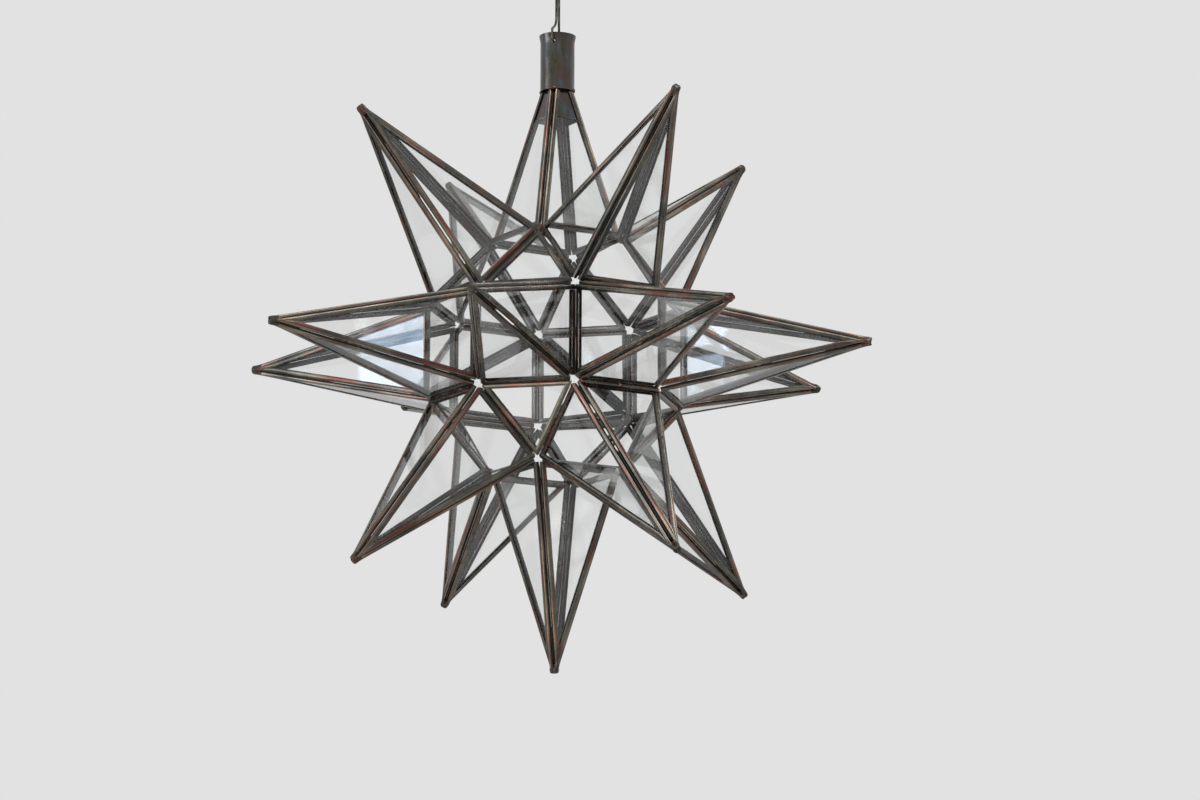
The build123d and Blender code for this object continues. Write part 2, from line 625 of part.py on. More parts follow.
def main():
    os.makedirs("parts", exist_ok=True)
    for name, azimuth, elevation, flats in fixed_points():
        save(f"{name}_point_frame", point_frame(azimuth, elevation, flats))
        save(f"{name}_point_glass", point_glass(azimuth, elevation, flats))
    save("tip_caps", [tip_cap(azimuth, elevation) for _, azimuth, elevation, _ in fixed_points()])

    door = (DOOR_AZIMUTH, DOOR_ELEVATION)
    save("door_point_frame", point_frame(*door, ("left", "right")))
    save("door_point_glass", point_glass(*door, ("left", "right")))
    save("door_tip_cap", tip_cap(*door))
    save("hinge_pin", hinge_pin())
    save("frame_hinge_tubes", hinge_tubes(OUTER_TUBE, -SQUARE_FOLD / 2))
    save("door_hinge_tubes", hinge_tubes(INNER_TUBE, 180 + SQUARE_FOLD / 2))

    top_frame, top_glass, collar = top_parts()
    save("top_point_frame", top_frame)
    save("top_point_glass", top_glass)
    save("neck_collar", collar)
    save("neck_tube", neck_tube())
    save("neck_solder", neck_solder())
    flat_frames, flat_glass = flat_panes()
    save("flat_pane_frames", flat_frames)
    save("flat_pane_glass", flat_glass)
    save("vertex_solder", vertex_solder())

    for piece in (
        holder_strap, holder_nipple, holder_nut, lampholder_cap, lampholder_sleeve,
        lampholder_core, lamp_screw_shell, centre_contact, terminal_screws,
        hanging_wire, wire_binding, ceiling_hook, ceiling_plate,
    ):
        save(piece.__name__, piece())
    print(f"The star's centre is {CEILING:.2f} mm below the ceiling")


if __name__ == "__main__":
    main()
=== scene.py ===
import json
import logging
import math
from dataclasses import dataclass
from enum import Enum
from typing import Callable, Iterable, Sequence

import bmesh
import bpy
from mathutils import Matrix, Vector, noise

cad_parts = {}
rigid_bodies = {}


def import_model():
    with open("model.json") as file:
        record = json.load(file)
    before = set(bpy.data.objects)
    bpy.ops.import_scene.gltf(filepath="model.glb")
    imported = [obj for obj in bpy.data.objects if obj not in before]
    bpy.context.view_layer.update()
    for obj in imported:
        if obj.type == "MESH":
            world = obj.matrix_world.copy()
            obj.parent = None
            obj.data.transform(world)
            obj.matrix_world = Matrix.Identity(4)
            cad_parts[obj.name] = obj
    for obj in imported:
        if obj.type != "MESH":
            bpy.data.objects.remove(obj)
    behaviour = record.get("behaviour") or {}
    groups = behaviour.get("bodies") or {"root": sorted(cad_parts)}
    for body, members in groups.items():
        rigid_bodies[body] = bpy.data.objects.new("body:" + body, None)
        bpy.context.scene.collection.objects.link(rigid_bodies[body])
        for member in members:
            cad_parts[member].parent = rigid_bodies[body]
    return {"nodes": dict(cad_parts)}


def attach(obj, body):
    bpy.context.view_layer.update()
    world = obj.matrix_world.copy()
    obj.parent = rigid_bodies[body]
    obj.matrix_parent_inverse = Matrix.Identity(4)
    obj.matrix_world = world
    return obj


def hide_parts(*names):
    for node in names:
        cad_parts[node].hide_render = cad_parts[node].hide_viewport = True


# Moravian star pendant of clear panes in folded metal cames. Metres throughout, in the frame of
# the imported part: +Z is up, -Y is the front and the origin is the ceiling plate's top face.

log = logging.getLogger("star_pendant")
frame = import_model()

MM = 0.001
STAR, DOOR, HANGER = "star", "door", "hanger"
Triple = tuple[float, float, float]
Corner = tuple[str, float]
Material = bpy.types.Material
Vert = bmesh.types.BMVert


# ---- Shader maths ----------------------------------------------------------------


class Signal:
    """A socket that takes part in expressions, each of which adds its own Math node."""

    def __init__(self, graph: "ShaderGraph", socket: bpy.types.NodeSocket) -> None:
        """Wraps one output socket of a graph."""
        self.graph = graph
        self.socket = socket

    def __add__(self, other: "Signal | float") -> "Signal":
        """Sum with a signal or a number."""
        return self.graph.maths("ADD", self, other)

    def __sub__(self, other: "Signal | float") -> "Signal":
        """Difference from a signal or a number."""
        return self.graph.maths("SUBTRACT", self, other)

    def __rsub__(self, other: float) -> "Signal":
        """A number less this signal."""
        return self.graph.maths("SUBTRACT", other, self)

    def __mul__(self, other: "Signal | float") -> "Signal":
        """Product with a signal or a number."""
        return self.graph.maths("MULTIPLY", self, other)

    def __pow__(self, other: "Signal | float") -> "Signal":
        """This signal to a power."""
        return self.graph.maths("POWER", self, other)

    def __rpow__(self, other: float) -> "Signal":
        """A number to the power of this signal."""
        return self.graph.maths("POWER", other, self)

    __radd__ = __add__
    __rmul__ = __mul__

    def clamped(self) -> "Signal":
        """This signal held between 0 and 1."""
        return self.graph.maths("ADD", self, 0.0, clamp=True)


class ShaderGraph:
    """The nodes of one material or of the world, made from Python expressions."""

    def __init__(self, owner: bpy.types.Material | bpy.types.World) -> None:
        """Empties the owner's node tree."""
        owner.use_nodes = True
        self.owner = owner
        self.tree = owner.node_tree
        self.tree.nodes.clear()

    @classmethod
    def of_material(cls, name: str) -> "ShaderGraph":
        """The empty graph of a new material."""
        return cls(bpy.data.materials.new(name))

    def node(self, kind: str, settings: dict | None = None,
             sockets: dict | None = None) -> bpy.types.Node:
        """Adds a node.

        Args:
            kind: The node's type.
            settings: Its properties, set before its sockets. "stops" are a ramp's greys.
            sockets: Values or signals by the socket's name or index.

        Returns:
            The node.
        """
        made = self.tree.nodes.new(kind)
        for key, value in (settings or {}).items():
            if key == "stops":
                for element, (place, grey) in zip(made.color_ramp.elements, value):
                    element.position = place
                    element.color = (grey, grey, grey, 1.0)
            else:
                setattr(made, key, value)
        for key, value in (sockets or {}).items():
            socket = made.inputs[key]
            if isinstance(value, Signal):
                self.tree.links.new(value.socket, socket)
            elif isinstance(value, tuple) and socket.type == "RGBA":
                socket.default_value = (*value, 1.0)
            else:
                socket.default_value = value
        return made

    def output(self, made: bpy.types.Node, key: str | int = 0) -> Signal:
        """The signal of a node's output."""
        return Signal(self, made.outputs[key])

    def maths(self, operation: str, first: Signal | float, second: Signal | float,
              clamp: bool = False) -> Signal:
        """One Math node's result."""
        settings = {"operation": operation, "use_clamp": clamp}
        return self.output(self.node("ShaderNodeMath", settings, {0: first, 1: second}))

    def object_point(self) -> Signal:
        """The place on the piece, in metres."""
        return self.output(self.node("ShaderNodeTexCoord"), "Object")

    def scaled(self, point: Signal, scale: Triple) -> Signal:
        """A place scaled differently along each axis."""
        return self.output(self.node("ShaderNodeMapping", None, {"Vector": point, "Scale": scale}))

    def along_strip(self, along: float, across: float) -> Signal:
        """The piece's UV map, in metres along and across a strip, scaled for streaks."""
        uv = self.output(self.node("ShaderNodeTexCoord"), "UV")
        return self.scaled(uv, (along, across, 1.0))

    def noise(self, point: Signal, scale: float, detail: float = 2.0,
              roughness: float = 0.5) -> Signal:
        """Fractal noise around 0.5 at a point."""
        sockets = {"Vector": point, "Scale": scale, "Detail": detail, "Roughness": roughness}
        return self.output(self.node("ShaderNodeTexNoise", None, sockets), "Fac")

    def cells(self, point: Signal, scale: float) -> Signal:
        """Distance to the nearest of many scattered points."""
        sockets = {"Vector": point, "Scale": scale}
        return self.output(self.node("ShaderNodeTexVoronoi", None, sockets), "Distance")

    def attribute(self, name: str) -> Signal:
        """A value stored on the piece's vertices."""
        return self.output(self.node("ShaderNodeAttribute", {"attribute_name": name}), "Fac")

    def mask(self, signal: Signal, low: float, high: float) -> Signal:
        """0 below low, 1 above high, and a ramp between."""
        stops = {"stops": ((low, 0.0), (high, 1.0))}
        return self.output(self.node("ShaderNodeValToRGB", stops, {"Fac": signal}))

    def blend(self, share: Signal, first: Signal | Triple, second: Signal | Triple) -> Signal:
        """Two colours mixed by a share."""
        sockets = {0: share, 6: first, 7: second}
        return self.output(self.node("ShaderNodeMix", {"data_type": "RGBA"}, sockets), 2)

    def bump(self, height: Signal, strength: float, distance: float) -> Signal:
        """A normal from a height."""
        sockets = {"Height": height, "Strength": strength, "Distance": distance}
        return self.output(self.node("ShaderNodeBump", None, sockets))

    def shader(self, kind: str, sockets: dict | None = None) -> Signal:
        """The result of a shader node."""
        return self.output(self.node(kind, None, sockets))

    def mixed(self, share: Signal, first: Signal, second: Signal) -> Signal:
        """Two shaders mixed by a share."""
        return self.shader("ShaderNodeMixShader", {0: share, 1: first, 2: second})

    def principled(self, sockets: dict) -> Material:
        """Ends the graph in a Principled shader.

        Args:
            sockets: Values or signals of the shader.

        Returns:
            The material.
        """
        return self.close(self.shader("ShaderNodeBsdfPrincipled", sockets))

    def close(self, shader: Signal) -> bpy.types.Material | bpy.types.World:
        """Links a shader to the owner's output, and gives the owner."""
        of_world = isinstance(self.owner, bpy.types.World)
        kind = "ShaderNodeOutputWorld" if of_world else "ShaderNodeOutputMaterial"
        self.node(kind, None, {"Surface": shader})
        return self.owner


# ---- Finishes --------------------------------------------------------------------
# Noise scales are per metre. A mask's two numbers are where its ramp begins and ends.


@dataclass(frozen=True)
class PatinatedCame:
    """Folded strip metal, darkened by flux and handling, with copper showing through."""

    name: str = "patinated_came"
    dark: Triple = (0.060, 0.058, 0.052)
    olive: Triple = (0.150, 0.142, 0.116)
    copper: Triple = (0.150, 0.050, 0.036)
    zinc: Triple = (0.23, 0.25, 0.27)
    worn: Triple = (0.42, 0.36, 0.27)
    roughness: float = 0.27
    metallic: float = 0.93

    def build(self) -> Material:
        """Makes the material."""
        graph = ShaderGraph.of_material(self.name)
        point = graph.object_point()
        cloud = graph.noise(point, 26.0, 3.0)
        grain = graph.noise(point, 260.0, 3.0, 0.55)
        drawn = graph.noise(graph.along_strip(24.0, 1500.0), 1.0, 2.0)
        flush = graph.noise(graph.along_strip(20.0, 300.0), 1.0, 4.0, 0.64) * 0.78 + cloud * 0.22
        bend, inner = graph.attribute("bend"), graph.attribute("inner")
        mottle = cloud * 0.6 + drawn * 0.4
        aged = graph.mask(mottle + (grain - 0.5) * 0.2, 0.40, 0.60)
        rubbed = graph.mask(drawn * 0.6 + cloud * 0.4 + bend * 0.08, 0.56, 0.72)
        tone = graph.blend(aged, self.dark, self.olive)
        tone = graph.blend(graph.mask(flush, 0.50, 0.58) * 0.85, tone, self.copper)
        tone = graph.blend(rubbed * 0.6, tone, self.worn)
        tone = graph.blend(inner * graph.mask(mottle, 0.40, 0.62) * 0.75, tone, self.zinc)
        rough = self.roughness + (grain - 0.5) * 0.2 + (cloud - 0.5) * 0.3 - bend * 0.04
        return graph.principled({
            "Base Color": tone, "Roughness": rough.clamped(),
            "Metallic": self.metallic - graph.mask(grain, 0.5, 0.8) * 0.12,
            "Normal": graph.bump(drawn * 0.2 + cloud * 0.5 + grain * 0.06, 0.18, 0.4 * MM)})


@dataclass(frozen=True)
class FluxedSeam:
    """Solder sunk between two cames: nearly black with old flux, here and there reddish."""

    name: str = "fluxed_seam"
    black: Triple = (0.010, 0.009, 0.008)
    red: Triple = (0.070, 0.022, 0.014)
    roughness: float = 0.55
    metallic: float = 0.5

    def build(self) -> Material:
        """Makes the material."""
        graph = ShaderGraph.of_material(self.name)
        point = graph.object_point()
        cloud = graph.noise(point, 70.0, 3.0, 0.6)
        return graph.principled({
            "Base Color": graph.blend(graph.mask(cloud, 0.52, 0.68) * 0.8, self.black, self.red),
            "Roughness": (self.roughness + (cloud - 0.5) * 0.4).clamped(),
            "Metallic": self.metallic,
            "Normal": graph.bump(graph.noise(point, 380.0, 2.0), 0.3, 0.2 * MM)})


@dataclass(frozen=True)
class RunSolder:
    """Tin solder that ran and set: bright where it is fresh, grey where it has tarnished."""

    name: str = "run_solder"
    bright: Triple = (0.23, 0.22, 0.205)
    tarnish: Triple = (0.058, 0.052, 0.044)
    rust: Triple = (0.130, 0.054, 0.038)
    roughness: float = 0.40
    metallic: float = 0.94

    def build(self) -> Material:
        """Makes the material."""
        graph = ShaderGraph.of_material(self.name)
        point = graph.object_point()
        skin = graph.noise(point, 190.0, 4.0, 0.6)
        cloud = graph.noise(point, 60.0, 2.0)
        tone = graph.blend(graph.mask(skin, 0.55, 0.80), self.tarnish, self.bright)
        tone = graph.blend(graph.mask(cloud, 0.48, 0.62) * 0.75, tone, self.rust)
        pits = graph.mask(graph.cells(point, 620.0), 0.05, 0.35)
        return graph.principled({
            "Base Color": tone, "Metallic": self.metallic,
            "Roughness": (self.roughness - (skin - 0.5) * 0.6).clamped(),
            "Normal": graph.bump(skin * 0.8 + pits * 0.2, 0.35, 0.4 * MM)})


@dataclass(frozen=True)
class ClearGlass:
    """Clear window glass: it lets light through and mirrors more at a slant, as glass does."""

    name: str = "clear_glass"
    tint: Triple = (0.985, 0.987, 0.985)
    mirror: Triple = (0.93, 0.95, 0.95)
    face_share: float = 0.042
    roughness: float = 0.012

    def build(self) -> Material:
        """Makes the material."""
        graph = ShaderGraph.of_material(self.name)
        point = graph.object_point()
        slant = graph.output(graph.node("ShaderNodeLayerWeight", None, {"Blend": 0.5}), "Facing")
        share = self.face_share + slant ** 5.0 * (1.0 - self.face_share)
        smear = graph.mask(graph.noise(point, 21.0, 4.0, 0.6), 0.45, 0.8)
        through = graph.shader("ShaderNodeBsdfTransparent", {"Color": self.tint})
        gloss = graph.shader("ShaderNodeBsdfPrincipled", {
            "Base Color": self.mirror, "Metallic": 1.0,
            "Roughness": self.roughness + smear * 0.03,
            "Normal": graph.bump(graph.noise(point, 9.0, 1.0), 0.12, 0.6 * MM)})
        return graph.close(graph.mixed(share.clamped(), through, gloss))


@dataclass(frozen=True)
class AgedSheet:
    """Zinc sheet of the neck: blue-grey where it was rubbed, olive and red-brown elsewhere."""

    name: str = "aged_sheet"
    grey: Triple = (0.084, 0.100, 0.128)
    olive: Triple = (0.070, 0.068, 0.050)
    russet: Triple = (0.078, 0.044, 0.034)
    soot: Triple = (0.030, 0.029, 0.026)
    run_scale: Triple = (1.0, 1.0, 0.16)
    roughness: float = 0.25
    metallic: float = 0.95

    def build(self) -> Material:
        """Makes the material."""
        graph = ShaderGraph.of_material(self.name)
        point = graph.object_point()
        runs = graph.noise(graph.scaled(point, self.run_scale), 150.0, 4.0, 0.6)
        cloud = graph.noise(point, 55.0, 3.0)
        grain = graph.noise(point, 300.0, 2.0, 0.5)
        rusty = graph.mask(cloud * 0.7 + runs * 0.3, 0.49, 0.60)
        tone = graph.blend(graph.mask(runs, 0.44, 0.60), self.olive, self.grey)
        tone = graph.blend(rusty * 0.9, tone, self.russet)
        tone = graph.blend(graph.mask(runs * 0.8 + grain * 0.2, 0.30, 0.44), self.soot, tone)
        return graph.principled({
            "Base Color": tone, "Roughness": (self.roughness + (runs - 0.5) * 0.1).clamped(),
            "Metallic": self.metallic - graph.mask(cloud, 0.5, 0.7) * 0.3,
            "Normal": graph.bump(runs * 0.5 + cloud * 0.5, 0.10, 0.4 * MM)})


@dataclass(frozen=True)
class DrawnMetal:
    """Wire and turned metal: fine lines along one axis under a light tarnish."""

    name: str
    bright: Triple
    tarnish: Triple
    roughness: float = 0.3
    spread: tuple[float, float] = (0.42, 0.66)
    line_scale: Triple = (1.0, 1.0, 0.12)
    metallic: float = 0.96

    def build(self) -> Material:
        """Makes the material."""
        graph = ShaderGraph.of_material(self.name)
        point = graph.object_point()
        lines = graph.noise(graph.scaled(point, self.line_scale), 1400.0, 2.0)
        cloud = graph.noise(point, 140.0, 4.0, 0.6)
        clean = graph.mask(cloud + (lines - 0.5) * 0.3, *self.spread)
        rough = self.roughness + (cloud - 0.5) * 0.4 + (lines - 0.5) * 0.2
        return graph.principled({
            "Base Color": graph.blend(clean, self.tarnish, self.bright),
            "Roughness": rough.clamped(), "Metallic": self.metallic,
            "Normal": graph.bump(lines * 0.4 + cloud, 0.12, 0.1 * MM)})


@dataclass(frozen=True)
class MouldedResin:
    """Dark moulded resin of the lampholder, with a faint mottle."""

    name: str = "moulded_resin"
    body: Triple = (0.018, 0.016, 0.014)
    mottle: Triple = (0.045, 0.032, 0.024)
    roughness: float = 0.30
    coat: float = 0.25

    def build(self) -> Material:
        """Makes the material."""
        graph = ShaderGraph.of_material(self.name)
        point = graph.object_point()
        cloud = graph.noise(point, 240.0, 4.0, 0.65)
        return graph.principled({
            "Base Color": graph.blend(graph.mask(cloud, 0.45, 0.72), self.body, self.mottle),
            "Roughness": (self.roughness + (cloud - 0.5) * 0.3).clamped(),
            "Coat Weight": self.coat,
            "Normal": graph.bump(graph.noise(point, 900.0, 2.0), 0.2, 0.1 * MM)})


@dataclass(frozen=True)
class Enamel:
    """White stoving enamel of the ceiling plate, with its slight orange peel."""

    name: str = "white_enamel"
    white: Triple = (0.74, 0.73, 0.70)
    dusty: Triple = (0.58, 0.56, 0.52)
    roughness: float = 0.24

    def build(self) -> Material:
        """Makes the material."""
        graph = ShaderGraph.of_material(self.name)
        point = graph.object_point()
        dust = graph.noise(point, 70.0, 4.0, 0.6)
        return graph.principled({
            "Base Color": graph.blend(graph.mask(dust, 0.48, 0.8) * 0.7, self.white, self.dusty),
            "Roughness": (self.roughness + dust * 0.25).clamped(),
            "Normal": graph.bump(graph.noise(point, 700.0, 1.0), 0.15, 0.2 * MM)})


COPPER_WIRE = DrawnMetal(
    "copper_wire", (0.80, 0.30, 0.16), (0.30, 0.09, 0.045), 0.28, (0.35, 0.62))
HANGING_STEEL = DrawnMetal("hanging_steel", (0.105, 0.098, 0.088), (0.034, 0.033, 0.029), 0.36)
FITTING_STEEL = DrawnMetal("fitting_steel", (0.52, 0.52, 0.50), (0.20, 0.19, 0.17), 0.3)
CONTACT_BRASS = DrawnMetal(
    "contact_brass", (0.72, 0.50, 0.22), (0.30, 0.19, 0.08), 0.26, (0.30, 0.6), (1.0, 1.0, 1.0))


# ---- Making a piece --------------------------------------------------------------


class Piece:
    """A mesh in the making, and what it stands for in the frame."""

    def __init__(self, name: str) -> None:
        """Starts an empty piece of this name."""
        self.name = name
        self.mesh = bmesh.new()
        self.uv = self.mesh.loops.layers.uv.new("UVMap")
        self.bend = self.mesh.verts.layers.float.new("bend")
        self.inner = self.mesh.verts.layers.float.new("inner")

    def finish(self, material: Material, body: str, slot: str, nodes: Sequence[str] = (),
               crease: float = 40.0) -> bpy.types.Object:
        """Turns the mesh into an object that rides on a body.

        Args:
            material: The piece's finish.
            body: The CAD body that it moves with.
            slot: The record's material slot. Not used.
            nodes: The CAD nodes that it stands for.
            crease: The angle in degrees past which an edge is drawn sharp.

        Returns:
            The object.
        """
        sharp = math.radians(crease)
        for face in self.mesh.faces:
            face.smooth = True
        for edge in self.mesh.edges:
            edge.smooth = len(edge.link_faces) != 2 or edge.calc_face_angle(0.0) < sharp
        made = placed_object(self.name, self.mesh)
        made.data.materials.append(material)
        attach(made, body)
        if nodes:
            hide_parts(*nodes)
        log.info("%s: %d faces on %s", self.name, len(made.data.polygons), body)
        return made

    def lofted(self, rings: Sequence[Sequence[Vector]], closed: bool = True) -> list[Vert]:
        """Extrudes one circle of vertices through a row of rings.

        Args:
            rings: The places of each ring's vertices, all of one count.
            closed: Whether both ends are drawn together to a point.

        Returns:
            The vertices that were made.
        """
        loop = bmesh.ops.create_circle(self.mesh, segments=len(rings[0]), radius=1.0)["verts"]
        loop = sorted(loop, key=lambda vert: math.atan2(vert.co.y, vert.co.x) % math.tau)
        made = list(loop)
        first = loop
        for index, ring in enumerate(rings):
            if index:
                edges = [self.mesh.edges.get((a, b)) for a, b in zip(loop, loop[1:] + loop[:1])]
                grown = bmesh.ops.extrude_edge_only(self.mesh, edges=edges)["geom"]
                fresh = {item for item in grown if isinstance(item, Vert)}
                loop = [next(edge.other_vert(vert) for edge in vert.link_edges
                             if edge.other_vert(vert) in fresh) for vert in loop]
                made += loop
            for vert, place in zip(loop, ring):
                vert.co = place
        if closed:
            for end in (first, loop):
                middle = sum((vert.co for vert in end), Vector()) / len(end)
                bmesh.ops.pointmerge(self.mesh, verts=end, merge_co=middle)
            made = [vert for vert in made if vert.is_valid]
        bmesh.ops.recalc_face_normals(self.mesh, faces=faces_of(made))
        return made

    def take(self, data: bpy.types.Mesh) -> None:
        """Takes over a finished mesh, with its seams and caps closed."""
        self.mesh.from_mesh(data)
        bmesh.ops.remove_doubles(self.mesh, verts=self.mesh.verts, dist=0.002 * MM)
        bmesh.ops.recalc_face_normals(self.mesh, faces=self.mesh.faces)


def faces_of(verts: Iterable[Vert]) -> list[bmesh.types.BMFace]:
    """Every face at these vertices, once each."""
    return list(dict.fromkeys(face for vert in verts for face in vert.link_faces))


def placed_object(name: str, mesh: bmesh.types.BMesh) -> bpy.types.Object:
    """Turns a mesh into an object of the scene, and frees the mesh."""
    data = bpy.data.meshes.new(name)
    mesh.to_mesh(data)
    mesh.free()
    made = bpy.data.objects.new(name, data)
    bpy.context.scene.collection.objects.link(made)
    return made


def applied_mesh(shown: bpy.types.Object) -> bpy.types.Mesh:
    """The mesh that an object comes out as, with its bevel or modifiers applied."""
    bpy.context.view_layer.update()
    graph = bpy.context.evaluated_depsgraph_get()
    return bpy.data.meshes.new_from_object(shown.evaluated_get(graph))


def dress(nodes: Iterable[str], material: Material) -> None:
    """Gives carried-over CAD nodes a finish.

    Args:
        nodes: The nodes' names.
        material: The finish that all their slots get.
    """
    for node in nodes:
        shown = frame["nodes"][node]
        for carrier in [shown, *shown.children_recursive]:
            if carrier.type == "MESH":
                carrier.data.materials.clear()
                carrier.data.materials.append(material)
        log.info("%s: kept, %s", node, material.name)


def wander(*places: float) -> float:
    """Smooth noise between about -1 and 1 at up to three coordinates."""
    return noise.noise(Vector((*places, 0.37, 0.71)[:3]))


def around(turn: float, reach: float, level: float = 0.0) -> Vector:
    """A place on a circle about the vertical axis."""
    return Vector((math.cos(turn) * reach, math.sin(turn) * reach, level))


def eased(value: float) -> float:
    """A step from 0 to 1 with soft ends."""
    value = min(1.0, max(0.0, value))
    return value * value * (3.0 - 2.0 * value)


# ---- The star's geometry ---------------------------------------------------------


class Side(Enum):
    """A side of a square face, by its turn about the point's axis in degrees."""

    LOWER = 0
    RIGHT = 90
    UPPER = 180
    LEFT = 270


@dataclass(frozen=True)
class PointPlace:
    """Where one point stands, and which of its panes meet a flat pane."""

    name: str
    azimuth: float
    elevation: float
    flats: tuple[Side, ...] = ()


@dataclass(frozen=True)
class StarGeometry:
    """Sizes and places that the whole star shares."""

    edge: float = 75.0 * MM
    height: float = 164.5 * MM
    centre_depth: float = 335.592 * MM
    seam_gap: float = 0.3 * MM
    came_depth: float = 3.0 * MM

    @property
    def face_distance(self) -> float:
        """From the star's centre to a square face."""
        return self.edge * (1.0 + math.sqrt(2.0)) / 2.0

    @property
    def slant(self) -> float:
        """A pane's height within its own plane."""
        return math.hypot(self.height, self.edge / 2.0)

    @property
    def side_length(self) -> float:
        """A pane's slanted edge."""
        return math.hypot(self.slant, self.edge / 2.0)

    @property
    def lean(self) -> float:
        """How far a pane leans in from the point's axis, in radians."""
        return math.atan2(self.edge / 2.0, self.height)

    @property
    def flat_tilt(self) -> float:
        """The angle between a square face and the flat pane beside it, in radians."""
        return math.acos(-math.sqrt(2.0 / 3.0))

    def direction(self, azimuth: float, elevation: float) -> Vector:
        """Unit vector away from the centre. Azimuth turns from the front to the right."""
        turn, lift = math.radians(azimuth), math.radians(elevation)
        level = math.cos(lift)
        return Vector((math.sin(turn) * level, -math.cos(turn) * level, math.sin(lift)))

    def centre(self) -> Vector:
        """The star's centre."""
        return Vector((0.0, 0.0, -self.centre_depth))

    def frame_on(self, origin: Vector, outward: Vector, right: Vector) -> Matrix:
        """A frame with X to the right, Y up and Z outward."""
        up = outward.cross(right)
        turned = Matrix((right, up, outward)).transposed().to_4x4()
        turned.translation = origin
        return turned

    def face(self, azimuth: float, elevation: float, distance: float) -> Matrix:
        """The frame of a face of the body at a distance from the centre."""
        outward = self.direction(azimuth, elevation)
        right = self.direction(azimuth + 90, 0)
        return self.frame_on(self.centre() + outward * distance, outward, right)

    def point(self, place: PointPlace) -> Matrix:
        """The frame of the square face under a point."""
        return self.face(place.azimuth, place.elevation, self.face_distance)

    def pane(self, side: Side) -> Matrix:
        """The frame of one pane on its square: base on X, apex on Y, outer face on Z."""
        outward = Vector((0.0, -self.height, self.edge / 2.0)).normalized()
        base = self.frame_on(
            Vector((0.0, -self.edge / 2.0, 0.0)), outward, Vector((1.0, 0.0, 0.0)))
        return Matrix.Rotation(math.radians(side.value), 4, "Z") @ base

    def inset(self, fold: float) -> float:
        """How far a came lies in from a fold of this angle in degrees."""
        half = math.radians(fold) / 2.0
        return (self.seam_gap / 2.0 + self.came_depth / 2.0 * math.cos(half)) / math.sin(half)

    def side_inset(self) -> float:
        """The inset along the fold between two panes of a point."""
        return self.inset(180.0 - math.degrees(math.acos((self.edge / 2.0 / self.slant) ** 2)))

    def base_inset(self, meets_flat: bool) -> float:
        """The inset along a pane's base."""
        slope = 90.0 - math.degrees(self.lean)
        if meets_flat:
            return self.inset(360.0 - math.degrees(self.flat_tilt) - slope)
        return self.inset(360.0 - 135.0 - 2.0 * slope)

    def vertices(self) -> dict[Corner, Vector]:
        """The body's vertices, by row and azimuth."""
        half, diagonal = self.edge / 2.0, self.edge / math.sqrt(2.0)
        far = math.hypot(half, self.face_distance)
        quarters = range(0, 360, 90)
        eighths = [22.5 + 45.0 * k for k in range(8)]
        rows = {
            "top": (diagonal, self.face_distance, quarters), "upper": (far, half, eighths),
            "lower": (far, -half, eighths), "bottom": (diagonal, -self.face_distance, quarters)}
        return {
            (row, float(azimuth)):
                self.centre() + self.direction(azimuth, 0.0) * reach + Vector((0.0, 0.0, level))
            for row, (reach, level, azimuths) in rows.items() for azimuth in azimuths}


GEOMETRY = StarGeometry()
BOTH_ENDS, BOTH_SIDES = (Side.LOWER, Side.UPPER), (Side.LEFT, Side.RIGHT)
DIAGONALS = (
    ("front_right", 45.0), ("back_right", 135.0), ("back_left", 225.0), ("front_left", 315.0))
FIXED_POINTS = (
    PointPlace("front", 0.0, 0.0, BOTH_ENDS), PointPlace("front_right", 45.0, 0.0),
    PointPlace("right", 90.0, 0.0, BOTH_ENDS), PointPlace("back_right", 135.0, 0.0),
    PointPlace("back", 180.0, 0.0, BOTH_ENDS), PointPlace("back_left", 225.0, 0.0),
    PointPlace("left", 270.0, 0.0, BOTH_ENDS), PointPlace("front_left", 315.0, 0.0),
    *(PointPlace(f"upper_{name}", azimuth, 45.0, BOTH_SIDES) for name, azimuth in DIAGONALS),
    *(PointPlace(f"lower_{name}", azimuth, -45.0, BOTH_SIDES) for name, azimuth in DIAGONALS[1:]),
    PointPlace("bottom", 45.0, -90.0),
)
DOOR_POINT = PointPlace("door", 45.0, -45.0, BOTH_SIDES)
TOP_POINT = PointPlace("top", 45.0, 90.0)


# ---- Cames -----------------------------------------------------------------------


@dataclass(frozen=True)
class CameSection:
    """Cross-section of the folded channel, from the outer lip over the spine to the inner lip."""

    depth: float = 3.0 * MM
    width: float = 4.0 * MM
    corner: float = 0.85 * MM
    inner_corner: float = 0.45 * MM
    sheet: float = 0.33 * MM
    crown: float = 0.20 * MM
    lip_drop: float = 0.06 * MM
    crown_places: tuple[tuple[float, float], ...] = ((0.84, 0.45), (0.56, 1.0))
    corner_crown: float = 0.35

    def points(self) -> list[Triple]:
        """Inset from the spine, offset from the pane's plane, and how much of a bend it is."""
        outer, inner = self.leg(self.corner), self.leg(self.inner_corner)
        mirrored = [(inset, -offset, bend) for inset, offset, bend in reversed(inner)]
        return [*outer, (0.0, 0.0, 0.7), *mirrored]

    def leg(self, corner: float) -> list[Triple]:
        """One leg from its lip to the spine, round a corner of this radius."""
        half = self.depth / 2.0
        places = [(self.width, half - self.lip_drop, 0.0)]
        for along, raised in self.crown_places:
            places.append((self.width * along, half + self.crown * raised, 0.0))
        places.append((corner, half + self.crown * self.corner_crown, 0.6))
        for turn in (30.0, 60.0, 90.0):
            bent = math.radians(turn)
            inset, drop = corner * (1.0 - math.sin(bent)), corner * (1.0 - math.cos(bent))
            places.append((inset, half - drop, 1.0))
        return places


